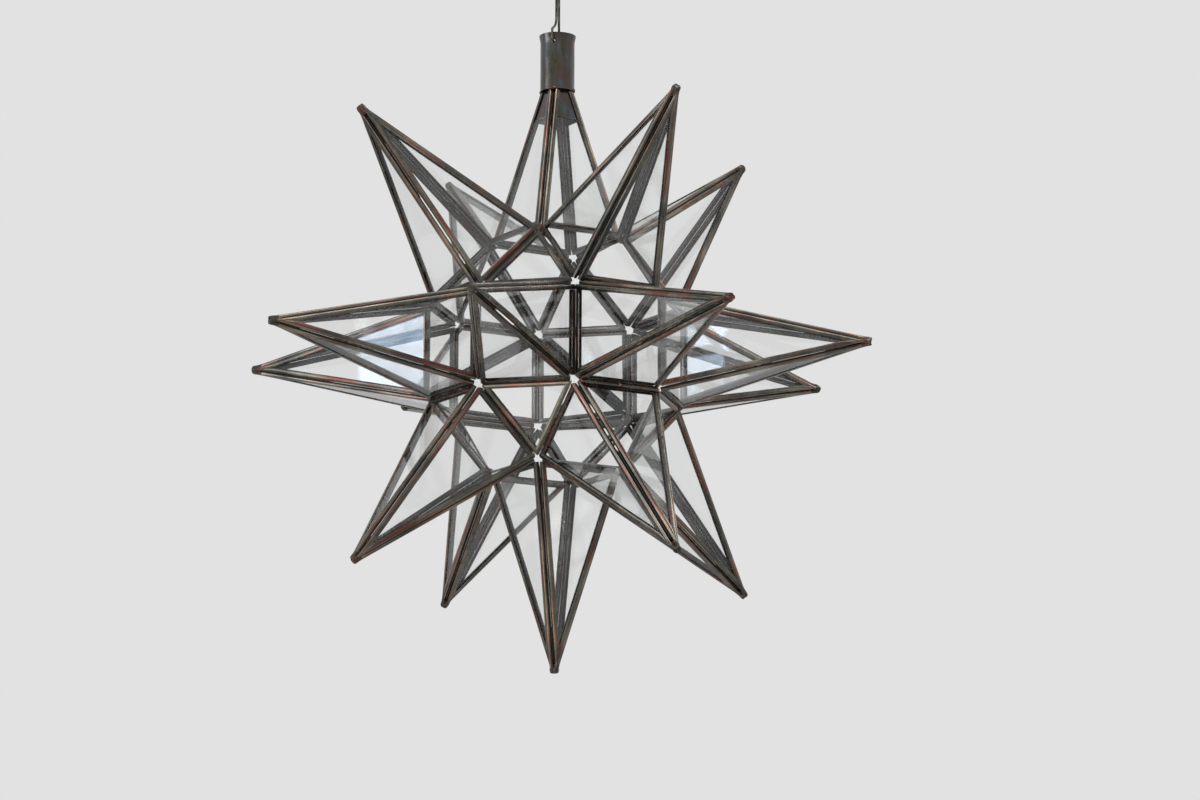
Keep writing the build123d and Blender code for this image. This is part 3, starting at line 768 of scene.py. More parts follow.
@dataclass(frozen=True)
class Run:
    """One straight came in a pane's plane.

    Args:
        origin: A point on the fold line.
        along: The direction of the fold line.
        inward: The direction into the pane, square to it.
        inset: How far the spine lies in from the fold.
        start: Where the came begins along the fold, for a distance in from it.
        end: Where it ends.
        room: The clear width there is for the came, for a place along it.
    """

    origin: Vector
    along: Vector
    inward: Vector
    inset: float
    start: Callable[[float], float]
    end: Callable[[float], float]
    room: Callable[[float], float]


@dataclass(frozen=True)
class Slit:
    """A stretch of a fold where the seam gapes and light comes through.

    Args:
        begin: Where it begins, as a share of the fold.
        end: Where it ends.
        gape: How far each came stands back halfway along.
    """

    begin: float
    end: float
    gape: float = 0.0

    def width(self, share: float) -> float:
        """How far a came stands back at a share of the fold."""
        if not self.begin < share < self.end:
            return 0.0
        through = (share - self.begin) / (self.end - self.begin)
        return self.gape * math.sin(math.pi * through) ** 0.7


# Gaping folds of points, by the point and the corner of its square in degrees
RIDGE_SLITS = {
    ("upper_front_left", 315.0): Slit(0.10, 0.50, 0.28 * MM),
    ("front", 315.0): Slit(0.56, 0.78, 0.30 * MM),
    ("door", 135.0): Slit(0.15, 0.42, 0.28 * MM),
    ("upper_back_right", 225.0): Slit(0.30, 0.55, 0.25 * MM)}
# Gaping edges of the body, by the vertices that they join
EDGE_SLITS = {
    (("top", 0.0), ("upper", 22.5)): Slit(0.18, 0.56),
    (("lower", 22.5), ("bottom", 0.0)): Slit(0.0, 0.26)}
# The base cames beside those edges, which stand back there
BASE_SLITS = {
    ("upper_front_right", Side.LEFT): Slit(0.15, 0.60, 0.55 * MM),
    ("door", Side.LEFT): Slit(0.66, 1.0, 0.35 * MM)}


@dataclass(frozen=True)
class CameStrip:
    """Lays the folded channel along a run, with the small faults of hand work."""

    section: CameSection = CameSection()
    step: float = 4.5 * MM
    wobble: float = 0.20 * MM
    wobble_wave: float = 34.0 * MM
    ragged: float = 0.15 * MM
    ragged_wave: float = 8.0 * MM
    dents: float = 0.03 * MM
    dent_wave: float = 13.0 * MM
    dent_width: float = 4.0 * MM
    least_room: float = 0.25 * MM
    fewest_steps: int = 6
    row_step: float = 0.7 * MM

    def lay(self, piece: Piece, place: Matrix, run: Run, seed: float,
            slit: Slit | None = None) -> None:
        """Adds one strip to a piece.

        Args:
            piece: The piece that the strip belongs to.
            place: The pane's frame.
            run: Where the strip runs.
            seed: Sets its faults apart from the others'.
            slit: Where the seam gapes, if it does.
        """
        points = self.section.points()
        across = len(points) - 1
        length = run.end(run.inset) - run.start(run.inset)
        count = max(self.fewest_steps, round(length / self.step))
        mesh = piece.mesh
        made = bmesh.ops.create_grid(mesh, x_segments=count, y_segments=across, size=0.5)["verts"]
        faces = faces_of(made)
        laid = {}
        for vert in made:
            share, index = vert.co.x + 0.5, round((vert.co.y + 0.5) * across)
            inset, offset, bend = points[index]
            begin, finish = run.start(run.inset + inset), run.end(run.inset + inset)
            reach = begin + share * (finish - begin)
            gape = slit.width(share) if slit else 0.0
            inset, offset = self.handmade(run.room(reach), reach, inset, offset, gape, seed)
            inward = run.inward * (run.inset + inset)
            vert.co = run.origin + run.along * reach + inward + Vector((0, 0, offset))
            vert[piece.bend] = bend
            vert[piece.inner] = 1.0 if offset < -0.4 * self.section.depth else 0.0
            laid[vert] = share * (finish - begin) + seed, index * self.row_step
        for face in faces:
            for loop in face.loops:
                loop[piece.uv].uv = laid[loop.vert]
        if run.along.cross(run.inward).z > 0:
            bmesh.ops.reverse_faces(mesh, faces=faces)
        bmesh.ops.transform(mesh, matrix=place, verts=made)
        for face in faces:
            face.normal_update()
        bmesh.ops.solidify(mesh, geom=faces, thickness=self.section.sheet)

    def handmade(self, room: float, reach: float, inset: float, offset: float, gape: float,
                 seed: float) -> tuple[float, float]:
        """Shifts a place of the section as hand work does.

        Args:
            room: The clear width there is.
            reach: The place along the fold.
            inset: The place's inset from the spine.
            offset: Its offset from the pane's plane.
            gape: How far the came stands back there.
            seed: Sets the strip's faults apart.

        Returns:
            The inset and the offset.
        """
        room = max(self.least_room, room)
        inset = self.fitted(inset, room)
        lip = max(0.0, inset / self.section.width - 0.3)
        pull = self.wobble * (0.5 + 0.5 * wander(reach / self.wobble_wave, seed, 2.0)) + gape
        narrow = min(1.0, room / self.section.width)
        torn = self.ragged * wander(reach / self.ragged_wave, seed, 5.0) * lip * narrow
        inset += pull * (1.0 - 0.6 * lip) * narrow + torn
        sign = 1.0 if offset > 0 else -1.0
        dent = wander(reach / self.dent_wave, seed, inset / self.dent_width + 9.0 * sign)
        return inset, offset + sign * self.dents * dent

    def fitted(self, inset: float, room: float) -> float:
        """Squeezes the section into the room there is, and spares the folded corner."""
        corner, width = self.section.corner, self.section.width
        if room >= width:
            return inset
        squeeze = min(1.0, room / (1.5 * corner))
        rest = max(0.0, inset - corner) * (room - corner * squeeze) / (width - corner)
        return min(inset, corner) * squeeze + rest


@dataclass(frozen=True)
class PaneRuns:
    """The runs of the cames round one pane."""

    vertex_cut: float = 3.3 * MM
    butt_gap: float = 0.12 * MM
    half_gap: float = 0.06 * MM
    width: float = 4.0 * MM
    lead: float = 0.5 * MM
    ample: float = 1.0

    def point_pane(self, meets_flat: bool, tip_cut: float, pane_seed: float) -> list[Run]:
        """The left, right and base runs of a point's pane.

        Args:
            meets_flat: Whether the base is soldered to a flat pane.
            tip_cut: From the apex, within the pane, to the cames' ends.
            pane_seed: Sets this pane's faults apart.

        Returns:
            The three runs.
        """
        half, slant, length = GEOMETRY.edge / 2.0, GEOMETRY.slant, GEOMETRY.side_length
        rise, run_in = slant / length, half / length
        side, base = GEOMETRY.side_inset(), GEOMETRY.base_inset(meets_flat)
        bisector = (math.pi / 2.0 - math.atan2(half, slant)) / 2.0
        lead = self.lead * wander(pane_seed, 3.1)

        def start(inward: float) -> float:
            """Where a side came begins, clear of the vertex and of the base's fold."""
            corner = (self.vertex_cut - inward * math.sin(bisector)) / math.cos(bisector)
            return max(corner, (base + run_in * inward) / rise)

        def end(inward: float) -> float:
            """Where a side came ends under the tip."""
            return (slant - tip_cut + lead + run_in * inward) / rise

        def room(reach: float) -> float:
            """From a side came's spine to the pane's middle line."""
            return (half - run_in * reach) / rise - side - self.half_gap

        def tuck(inward: float) -> float:
            """Where the base came begins, against the side came's lip."""
            return (side + self.width + self.butt_gap + run_in * inward) / rise

        def untuck(inward: float) -> float:
            """Where the base came ends."""
            return 2.0 * half - tuck(inward)

        runs = []
        for hand in (-1.0, 1.0):
            along = Vector((-hand * run_in, rise, 0.0))
            inward = Vector((-hand * rise, -run_in, 0.0))
            runs.append(Run(Vector((hand * half, 0.0, 0.0)), along, inward, side, start, end, room))
        runs.append(Run(
            Vector((-half, 0.0, 0.0)), Vector((1.0, 0.0, 0.0)), Vector((0.0, 1.0, 0.0)), base,
            tuck, untuck, lambda reach: self.ample))
        return runs

    def flat_pane(self) -> list[Run]:
        """The three mitred runs of a triangle between the points."""
        half, height = GEOMETRY.edge / 2.0, GEOMETRY.edge * math.sqrt(3.0) / 2.0
        fold = GEOMETRY.base_inset(True)
        middle = Vector((0.0, -height / 3.0, 0.0))

        def start(inward: float) -> float:
            """Where a came begins, at the mitre or at the cut corner."""
            mitre = inward * math.sqrt(3.0) + self.butt_gap
            return max(mitre, (self.vertex_cut - inward * 0.5) * 2.0 / math.sqrt(3.0))

        def end(inward: float) -> float:
            """Where a came ends."""
            return 2.0 * half - start(inward)

        runs = []
        for turn in (0.0, 120.0, 240.0):
            spun = Matrix.Rotation(math.radians(turn), 3, "Z")
            runs.append(Run(
                spun @ (middle + Vector((-half, 0.0, 0.0))), spun @ Vector((1.0, 0.0, 0.0)),
                spun @ Vector((0.0, 1.0, 0.0)), fold, start, end, lambda reach: self.ample))
        return runs


@dataclass(frozen=True)
class Cames:
    """Every came of the star: those of its points, of the door and of the flat panes."""

    strip: CameStrip = CameStrip()
    runs: PaneRuns = PaneRuns()
    tip_cut: float = 9.3 * MM
    top_cut: float = 43.2 * MM
    door_index: int = 31
    top_index: int = 37
    point_seed: float = 16.37
    pane_seed: float = 4.11
    run_seed: float = 1.31

    def build(self, finish: Material) -> None:
        """Makes one piece for each CAD node of cames."""
        for index, place in enumerate(FIXED_POINTS):
            self.point(place, index, STAR, self.tip_cut, finish)
        self.point(DOOR_POINT, self.door_index, DOOR, self.tip_cut, finish)
        self.point(TOP_POINT, self.top_index, STAR, self.top_cut, finish)
        self.flats(finish)

    def point(self, place: PointPlace, index: int, body: str, cut: float,
              finish: Material) -> None:
        """Makes the twelve strips of one point.

        Args:
            place: The point.
            index: Sets its faults apart.
            body: The body that it rides on.
            cut: From the apex to its cames' ends.
            finish: Its finish.
        """
        piece = Piece(f"{place.name}_cames")
        for turn, side in enumerate(Side):
            pane = GEOMETRY.point(place) @ GEOMETRY.pane(side)
            seed = index * self.point_seed + turn * self.pane_seed
            left, right = (side.value - 135.0) % 360.0, (side.value - 45.0) % 360.0
            slits = (RIDGE_SLITS.get((place.name, left)), RIDGE_SLITS.get((place.name, right)),
                     BASE_SLITS.get((place.name, side)))
            runs = self.runs.point_pane(side in place.flats, cut, seed)
            for number, (run, slit) in enumerate(zip(runs, slits)):
                self.strip.lay(piece, pane, run, seed + number * self.run_seed, slit)
        piece.finish(finish, body, "came_metal", [f"{place.name}_point_frame"])

    def flats(self, finish: Material) -> None:
        """Makes the strips of the eight flat panes."""
        piece = Piece("flat_pane_cames")
        lift = math.degrees(math.asin(1.0 / math.sqrt(3.0)))
        corners = GEOMETRY.vertices()
        triangle = corners["top", 0.0], corners["upper", 22.5], corners["upper", 337.5]
        distance = (sum(triangle, Vector()) / 3.0 - GEOMETRY.centre()).length
        for row, elevation in enumerate((lift, -lift)):
            for azimuth in range(0, 360, 90):
                place = GEOMETRY.face(azimuth, elevation, distance)
                if elevation < 0:
                    place = place @ Matrix.Rotation(math.pi, 4, "Z")
                for number, run in enumerate(self.runs.flat_pane()):
                    seed = 700.0 + row * 50.0 + azimuth * 0.11 + number * 1.7
                    self.strip.lay(piece, place, run, seed)
        piece.finish(finish, STAR, "came_metal", ["flat_pane_frames"])


# ---- Solder ----------------------------------------------------------------------


class TipCut(Enum):
    """How a point's end was left."""

    BLUNT = "blunt"
    FORKED = "forked"
    ROUND = "round"
    OBLIQUE = "oblique"


# How each tip was cut, and the azimuth of its cut about the point's axis
TIP_CUTS = {
    "upper_front_left": (TipCut.BLUNT, 60.0), "upper_front_right": (TipCut.ROUND, 20.0),
    "upper_back_right": (TipCut.BLUNT, 10.0), "front_left": (TipCut.FORKED, 90.0),
    "left": (TipCut.ROUND, 200.0), "right": (TipCut.FORKED, 80.0),
    "back_left": (TipCut.BLUNT, 70.0), "lower_front_left": (TipCut.OBLIQUE, 150.0),
    "bottom": (TipCut.OBLIQUE, 300.0), "front": (TipCut.ROUND, 0.0),
    "front_right": (TipCut.BLUNT, 30.0), "door": (TipCut.FORKED, 140.0),
    "back_right": (TipCut.OBLIQUE, 20.0), "lower_back_right": (TipCut.BLUNT, 110.0)}
# How far the middle of an end lies below its rim
TIP_SINKS = {
    TipCut.ROUND: -0.35 * MM, TipCut.FORKED: 1.0 * MM, TipCut.BLUNT: 0.7 * MM,
    TipCut.OBLIQUE: 0.5 * MM}


@dataclass(frozen=True)
class TipSolder:
    """The soldered stub at the end of each point, where its cames run together."""

    end: float = 4.7 * MM
    lap: float = 12.5 * MM
    spokes: int = 40
    face_slope: float = 0.228
    face_skin: float = 1.54 * MM
    film: float = 0.30 * MM
    film_fall: float = 0.76 * MM
    ragged: float = 0.35 * MM
    crumple: float = 0.22 * MM
    levels: tuple[float, ...] = (
        1.0, 0.93, 0.82, 0.70, 0.58, 0.46, 0.35, 0.24, 0.14, 0.06, 0.0)
    end_rings: tuple[tuple[float, float], ...] = ((0.80, 0.15), (0.60, 0.8), (0.28, 1.0))

    def build(self, finish: Material) -> None:
        """Makes the stubs of the fixed points and of the door."""
        fixed = Piece("tip_solder")
        for index, place in enumerate(FIXED_POINTS):
            self.stub(fixed, place, index * 7.7 + 1.3)
        fixed.finish(finish, STAR, "solder", ["tip_caps"], 60.0)
        door = Piece("door_tip_solder")
        self.stub(door, DOOR_POINT, 151.0)
        door.finish(finish, DOOR, "solder", ["door_tip_cap"], 60.0)

    def stub(self, piece: Piece, place: PointPlace, seed: float) -> None:
        """Adds one stub.

        Args:
            piece: The piece that it belongs to.
            place: The point that it closes.
            seed: Sets its faults apart.
        """
        cut, azimuth = TIP_CUTS.get(place.name, (TipCut.BLUNT, seed * 40.0))
        turns = [math.tau * k / self.spokes for k in range(self.spokes)]
        rings = [[self.skin(turn, level, cut, azimuth, seed) for turn in turns]
                 for level in self.levels]
        last = rings[-1]
        middle = sum(last, Vector()) / len(last)
        for share, depth in self.end_rings:
            ring = []
            for k, spot in enumerate(last):
                rough = 0.15 * MM * wander(k * 0.9, seed, share * 9)
                down = Vector((0, 0, TIP_SINKS[cut] * depth + rough))
                ring.append(middle.lerp(spot, share) - down)
            rings.append(ring)
        inside = rings[0]
        core = sum(inside, Vector()) / len(inside)
        rings.insert(0, [core.lerp(spot, 0.4) for spot in inside])
        made = piece.lofted(rings)
        bmesh.ops.transform(piece.mesh, matrix=GEOMETRY.point(place), verts=made)

    def skin(self, turn: float, level: float, cut: TipCut, azimuth: float, seed: float) -> Vector:
        """A place on the stub's skin.

        Args:
            turn: The angle about the point's axis.
            level: 0 at the end and 1 where the solder runs out over the cames.
            cut: How the end was left.
            azimuth: Where the cut leans to, in degrees.
            seed: Sets the stub's faults apart.

        Returns:
            The place, in the point's frame.
        """
        lean = turn - math.radians(azimuth)
        quarter, eighth = math.pi / 2.0, math.pi / 4.0
        shorten = {
            TipCut.BLUNT: 0.2, TipCut.ROUND: 0.15,
            TipCut.FORKED: 1.0 * (0.5 - 0.5 * math.cos(2.0 * lean)),
            TipCut.OBLIQUE: 1.5 * (0.5 + 0.5 * math.cos(lean))}[cut] * MM
        chipped = wander(math.cos(turn) * 2.2, math.sin(turn) * 2.2, seed)
        shorten += self.ragged * (0.5 + 0.5 * chipped)
        below = self.end + shorten * (1.0 - level) + (self.lap - self.end) * level
        wide = self.face_slope * below + self.face_skin
        # The cames' flat fronts end at the corners; between them lies the fold, partly filled
        flat = max(0.5 * MM, below * 1.0257 * 0.2222 - 1.67 * MM)
        folded = abs((turn + eighth) % quarter - eighth)
        corner = math.atan2(flat, wide)
        groove = (flat + 0.3 * MM) * math.sqrt(2.0)
        filled = 0.55 + 0.25 * wander(round((turn - eighth) / quarter) * 3.3, seed) - 0.35 * level
        notch = groove + filled * (wide * 1.18 - groove)
        reach = wide / math.cos(folded)
        reach += (notch - reach) * eased((folded - corner) / (eighth - corner))
        film = self.film - self.film_fall * eased((level - 0.30) / 0.6)
        skin = wander(math.cos(turn) * wide / 0.0036, math.sin(turn) * wide / 0.0036,
                      below / 0.0042 + seed)
        reach += film + self.crumple * skin * (1.0 - 0.3 * level)
        if level < 0.1:
            reach -= (0.55 if cut is TipCut.ROUND else 0.2) * MM * (1.0 - level / 0.1)
        return around(turn, reach, GEOMETRY.height - below)


@dataclass(frozen=True)
class SeamRuns:
    """Solder drawn into the folds, dark with flux, which closes the seams between cames.

    The sway is in millimetres, and the swell and the taper are shares of the radius.
    """

    radius: float = 0.52 * MM
    step: float = 4.0 * MM
    spokes: int = 8
    ridge_rise: float = 1.50 * MM
    valley_rise: float = 2.50 * MM
    flat_rise: float = 1.16 * MM
    door_rise: float = 2.25 * MM
    door_flat_drop: float = 0.25 * MM
    door_share: float = 0.76
    foot_cut: float = 3.9 * MM
    tip_cut: float = 13.0 * MM
    neck_cut: float = 44.0 * MM
    sway: float = 0.06
    swell: float = 0.08
    taper: float = 0.55

    def build(self, finish: Material) -> None:
        """Makes the runs along the points' folds and along the body's edges."""
        fixed = Piece("seam_runs")
        for index, place in enumerate((*FIXED_POINTS, TOP_POINT)):
            self.ridges(fixed, place, index * 11.3)
        self.edges(fixed)
        fixed.finish(finish, STAR, "solder", (), 60.0)
        door = Piece("door_seam_runs")
        self.ridges(door, DOOR_POINT, 313.0)
        door.finish(finish, DOOR, "solder", (), 60.0)

    def ridges(self, piece: Piece, place: PointPlace, seed: float) -> None:
        """Adds the runs in the four folds of one point."""
        square = GEOMETRY.point(place)
        apex = Vector((0.0, 0.0, GEOMETRY.height))
        top_cut = self.neck_cut if place is TOP_POINT else self.tip_cut
        for corner in (45.0, 135.0, 225.0, 315.0):
            outward = around(math.radians(corner), 1.0)
            foot = outward * GEOMETRY.edge / math.sqrt(2.0)
            along = (apex - foot).normalized()
            inward = -outward
            inward = (inward - along * inward.dot(along)).normalized()
            ends = foot + along * self.foot_cut, apex - along * top_cut
            slit = RIDGE_SLITS.get((place.name, corner))
            rise = inward * self.ridge_rise
            self.run(piece, square, ends, rise, self.radius, slit, seed + corner)

    def edges(self, piece: Piece) -> None:
        """Adds the runs along the body's edges, but for the hinge's."""
        corners = GEOMETRY.vertices()
        keys = list(corners)
        squares = (*FIXED_POINTS, DOOR_POINT, TOP_POINT)
        faces = [GEOMETRY.direction(place.azimuth, place.elevation) for place in squares]
        door = GEOMETRY.direction(DOOR_POINT.azimuth, DOOR_POINT.elevation)
        hinge = {("lower", 22.5), ("lower", 67.5)}
        centred = Matrix.Translation(GEOMETRY.centre())
        for index, first in enumerate(keys):
            for second in keys[index + 1:]:
                low, high = corners[first] - GEOMETRY.centre(), corners[second] - GEOMETRY.centre()
                if abs((high - low).length - GEOMETRY.edge) > 1.0 * MM:
                    continue
                if {first, second} == hinge:
                    continue
                on = [face for face in faces if self.holds(face, low) and self.holds(face, high)]
                bisector, rise = self.valley((low + high).normalized(), on)
                radius = self.radius
                if any(face.dot(door) > 0.999 for face in on):
                    rise = self.door_rise if len(on) > 1 else rise - self.door_flat_drop
                    radius *= self.door_share
                along = (high - low).normalized()
                ends = low + along * self.foot_cut, high - along * self.foot_cut
                slit = EDGE_SLITS.get((first, second))
                self.run(piece, centred, ends, bisector * rise, radius, slit, index * 2.9)

    def holds(self, face: Vector, corner: Vector) -> bool:
        """Whether a corner lies on the square face of this direction."""
        return abs(corner.dot(face) - GEOMETRY.face_distance) < 0.5 * MM

    def valley(self, middle: Vector, faces: Sequence[Vector]) -> tuple[Vector, float]:
        """The way out of the valley over an edge, and how far up it the run lies.

        Args:
            middle: The direction of the edge's middle from the star's centre.
            faces: The square faces that meet there: two, or one beside a flat pane.

        Returns:
            The bisector of the valley and the rise along it.
        """
        if len(faces) > 1:
            return middle, self.valley_rise
        face = faces[0]
        across = (middle - face * middle.dot(face)).normalized()
        pane = (face * GEOMETRY.height - across * GEOMETRY.edge / 2.0).normalized()
        tilt = GEOMETRY.flat_tilt
        flat = -across * math.cos(tilt) - face * math.sin(tilt)
        return (pane + flat).normalized(), self.flat_rise

    def run(self, piece: Piece, place: Matrix, ends: tuple[Vector, Vector], rise: Vector,
            radius: float, slit: Slit | None, seed: float) -> None:
        """Adds one run, in two stretches where the seam gapes.

        Args:
            piece: The piece that it belongs to.
            place: The frame of its ends.
            ends: Where the run begins and ends in its fold.
            rise: From the fold to the run's middle.
            radius: The run's radius.
            slit: Where the seam gapes, if it does.
            seed: Sets its faults apart.
        """
        begin, end = ends
        stretches = ((0.0, slit.begin), (slit.end, 1.0)) if slit else ((0.0, 1.0),)
        along = (end - begin).normalized()
        up = rise.normalized()
        side = along.cross(up)
        turns = [math.tau * n / self.spokes for n in range(self.spokes)]
        for low, high in stretches:
            length = (end - begin).length * (high - low)
            if length < 2.0 * self.step:
                continue
            count = round(length / self.step)
            rings = []
            for k in range(count + 1):
                centre = begin.lerp(end, low + (high - low) * k / count)
                centre = centre + rise + up * self.sway * MM * wander(k * 0.19, seed)
                thick = radius * (1.0 + self.swell * wander(k * 0.23, seed, 7.0))
                thick *= self.taper if k in (0, count) else 1.0
                rings.append([
                    centre + (up * math.sin(turn) + side * math.cos(turn)) * thick
                    for turn in turns])
            made = piece.lofted(rings)
            bmesh.ops.transform(piece.mesh, matrix=place, verts=made)


@dataclass(frozen=True)
class VertexSolder:
    """Lumps of solder in the body's vertices that were closed."""

    radius: float = 3.3 * MM
    lobe: float = 1.7 * MM
    closed: tuple[Corner, ...] = (
        ("top", 0.0), ("top", 90.0), ("top", 270.0), ("upper", 67.5), ("upper", 112.5),
        ("upper", 292.5), ("upper", 337.5), ("lower", 112.5), ("lower", 157.5),
        ("lower", 247.5), ("lower", 292.5), ("bottom", 180.0), ("bottom", 270.0))

    def build(self, finish: Material) -> None:
        """Makes the lumps."""
        corners = GEOMETRY.vertices()
        lumps = Piece("vertex_solder_lumps")
        for index, key in enumerate(self.closed):
            seams = self.seams(corners, corners[key])
            self.lump(lumps, corners[key], seams, index * 5.3 + 0.7)
        lumps.finish(finish, STAR, "solder", ["vertex_solder"], 180.0)

    def seams(self, corners: dict[Corner, Vector], centre: Vector) -> list[Vector]:
        """The directions of the body's edges that meet in a vertex."""
        return [
            (other - centre).normalized() for other in corners.values()
            if 0.5 < (other - centre).length / GEOMETRY.edge < 1.02]

    def lump(self, piece: Piece, centre: Vector, seams: Sequence[Vector], seed: float) -> None:
        """Adds a lump that runs a little way along each seam."""
        made = bmesh.ops.create_icosphere(piece.mesh, subdivisions=4, radius=1.0)["verts"]
        for vert in made:
            out = vert.co.normalized()
            run = sum(max(0.0, out.dot(seam)) ** 10 for seam in seams)
            coarse = wander(out.x * 1.6 + seed, out.y * 1.6, out.z * 1.6)
            fine = wander(out.x * 5 + seed, out.y * 5, out.z * 5)
            reach = self.radius * (0.95 + 0.16 * (coarse + 0.4 * fine)) + self.lobe * run
            vert.co = centre + out * reach


# ---- Neck ------------------------------------------------------------------------


@dataclass(frozen=True)
class NeckTube:
    """The rolled tube that holds the lampholder, with its flared rim and two wire holes."""

    radius: float = 13.7 * MM
    rim_radius: float = 14.8 * MM
    wall: float = 0.7 * MM
    flare: float = 6.5 * MM
    hole: float = 1.45 * MM
    hole_depth: float = 7.3 * MM
    bottom: float = 213.59 * MM
    rim: float = 259.6 * MM
    spokes: int = 96
    rows: int = 22
    dent: float = 0.10 * MM
    rim_dip: float = 0.35 * MM
    solder: float = 2.0 * MM
    solder_sunk: float = 0.25 * MM

    def build(self, sheet: Material, solder: Material) -> None:
        """Makes the tube and the solder round its foot, and dresses the collar."""
        self.tube(sheet)
        self.foot_solder(solder)
        dress(["neck_collar"], sheet)

    def tube(self, finish: Material) -> None:
        """Makes the tube, slightly out of round, with its holes cut."""
        piece = Piece("rolled_neck_tube")
        low, high = self.bottom - GEOMETRY.centre_depth, self.rim - GEOMETRY.centre_depth
        turns = [math.tau * k / self.spokes for k in range(self.spokes)]
        rings = []
        for row in range(self.rows + 1):
            level = low + (high - low) * row / self.rows
            open_up = max(0.0, (level - (high - self.flare)) / self.flare)
            flared = (self.rim_radius - self.radius) * open_up ** 1.4
            ring = []
            for turn in turns:
                x, y = math.cos(turn), math.sin(turn)
                dent = self.dent * wander(x * 1.7, y * 1.7, level / 0.012)
                dip = self.rim_dip * open_up * (0.5 + 0.5 * wander(x * 1.3, y * 1.3, 4.4))
                ring.append(around(turn, self.radius - self.dent + dent + flared, level - dip))
            rings.append(ring)
        piece.lofted(rings, closed=False)
        faces = list(piece.mesh.faces)
        if faces[0].calc_center_median().xy.dot(faces[0].normal.xy) < 0:
            bmesh.ops.reverse_faces(piece.mesh, faces=faces)
        bmesh.ops.solidify(piece.mesh, geom=faces, thickness=self.wall)
        made = piece.finish(finish, STAR, "neck_metal", ["neck_tube"], 35.0)
        self.cut_holes(made, high - self.hole_depth)

    def cut_holes(self, tube: bpy.types.Object, level: float) -> None:
        """Cuts the two wire holes through the tube, front and back."""
        mesh = bmesh.new()
        turned = Matrix.Translation((0.0, 0.0, level)) @ Matrix.Rotation(math.pi / 2.0, 4, "X")
        bmesh.ops.create_cone(
            mesh, cap_ends=True, segments=28, radius1=self.hole, radius2=self.hole, depth=0.05,
            matrix=turned)
        cutter = placed_object("wire_hole_cutter", mesh)
        cut = tube.modifiers.new("wire_holes", "BOOLEAN")
        cut.operation, cut.solver, cut.object = "DIFFERENCE", "EXACT", cutter
        holed = applied_mesh(tube)
        tube.modifiers.clear()
        tube.data = holed
        bpy.data.objects.remove(cutter)

    def foot_solder(self, finish: Material) -> None:
        """Makes the lumps that join the four corner cames to the tube."""
        piece = Piece("neck_foot_solder")
        level = self.bottom - GEOMETRY.centre_depth
        for index, azimuth in enumerate(range(0, 360, 90)):
            out, side = GEOMETRY.direction(azimuth, 0.0), GEOMETRY.direction(azimuth + 90, 0.0)
            made = bmesh.ops.create_icosphere(
                piece.mesh, subdivisions=3, radius=self.solder)["verts"]
            for vert in made:
                x, y, z = vert.co
                spot = vert.co * (1.0 + 0.22 * wander(x * 420 + index * 9, y * 420, z * 420))
                reach = max(self.radius - self.solder_sunk, self.radius + spot.x * 0.45)
                lift = Vector((0, 0, level + max(-0.5 * MM, spot.z + 0.4 * MM)))
                vert.co = out * reach + side * spot.y * 1.15 + lift
        piece.finish(finish, STAR, "solder", ["neck_solder"], 180.0)


@dataclass(frozen=True)
class Lampholder:
    """The lampholder in the neck: its carried-over parts and its threaded shell."""

    bore: float = 6.95 * MM
    shell_bottom: float = 217.1 * MM
    shell_top: float = 231.6 * MM
    pitch: float = 2.82 * MM
    ridge: float = 0.38 * MM
    plain_ends: float = 9.0

    def build(self, resin: Material, steel: Material, brass: Material) -> None:
        """Dresses the lampholder and makes its shell."""
        dress(["lampholder_cap", "lampholder_sleeve", "lampholder_core"], resin)
        dress(["holder_strap", "holder_nipple", "holder_nut"], steel)
        dress(["centre_contact", "terminal_screws"], brass)
        self.shell(brass)

    def shell(self, finish: Material) -> None:
        """Makes the screw shell with its rolled thread."""
        piece = Piece("threaded_lamp_shell")
        made = bmesh.ops.create_grid(
            piece.mesh, x_segments=48, y_segments=60, size=0.5)["verts"]
        tall = self.shell_top - self.shell_bottom
        for vert in made:
            turn, share = (vert.co.x + 0.5) * math.tau, vert.co.y + 0.5
            level = self.shell_bottom - GEOMETRY.centre_depth + share * tall
            wave = 0.5 - 0.5 * math.cos(math.tau * level / self.pitch - turn)
            thread = eased(min(share, 1.0 - share) * self.plain_ends)
            reach = self.bore + self.ridge - self.ridge * wave * thread
            vert.co = around(turn, reach, level)
        bmesh.ops.remove_doubles(piece.mesh, verts=made, dist=0.001 * MM)
        bmesh.ops.recalc_face_normals(piece.mesh, faces=list(piece.mesh.faces))
        piece.finish(finish, STAR, "contact_brass", ["lamp_screw_shell"], 180.0)


# ---- Hanging wire and binding ------------------------------------------------------


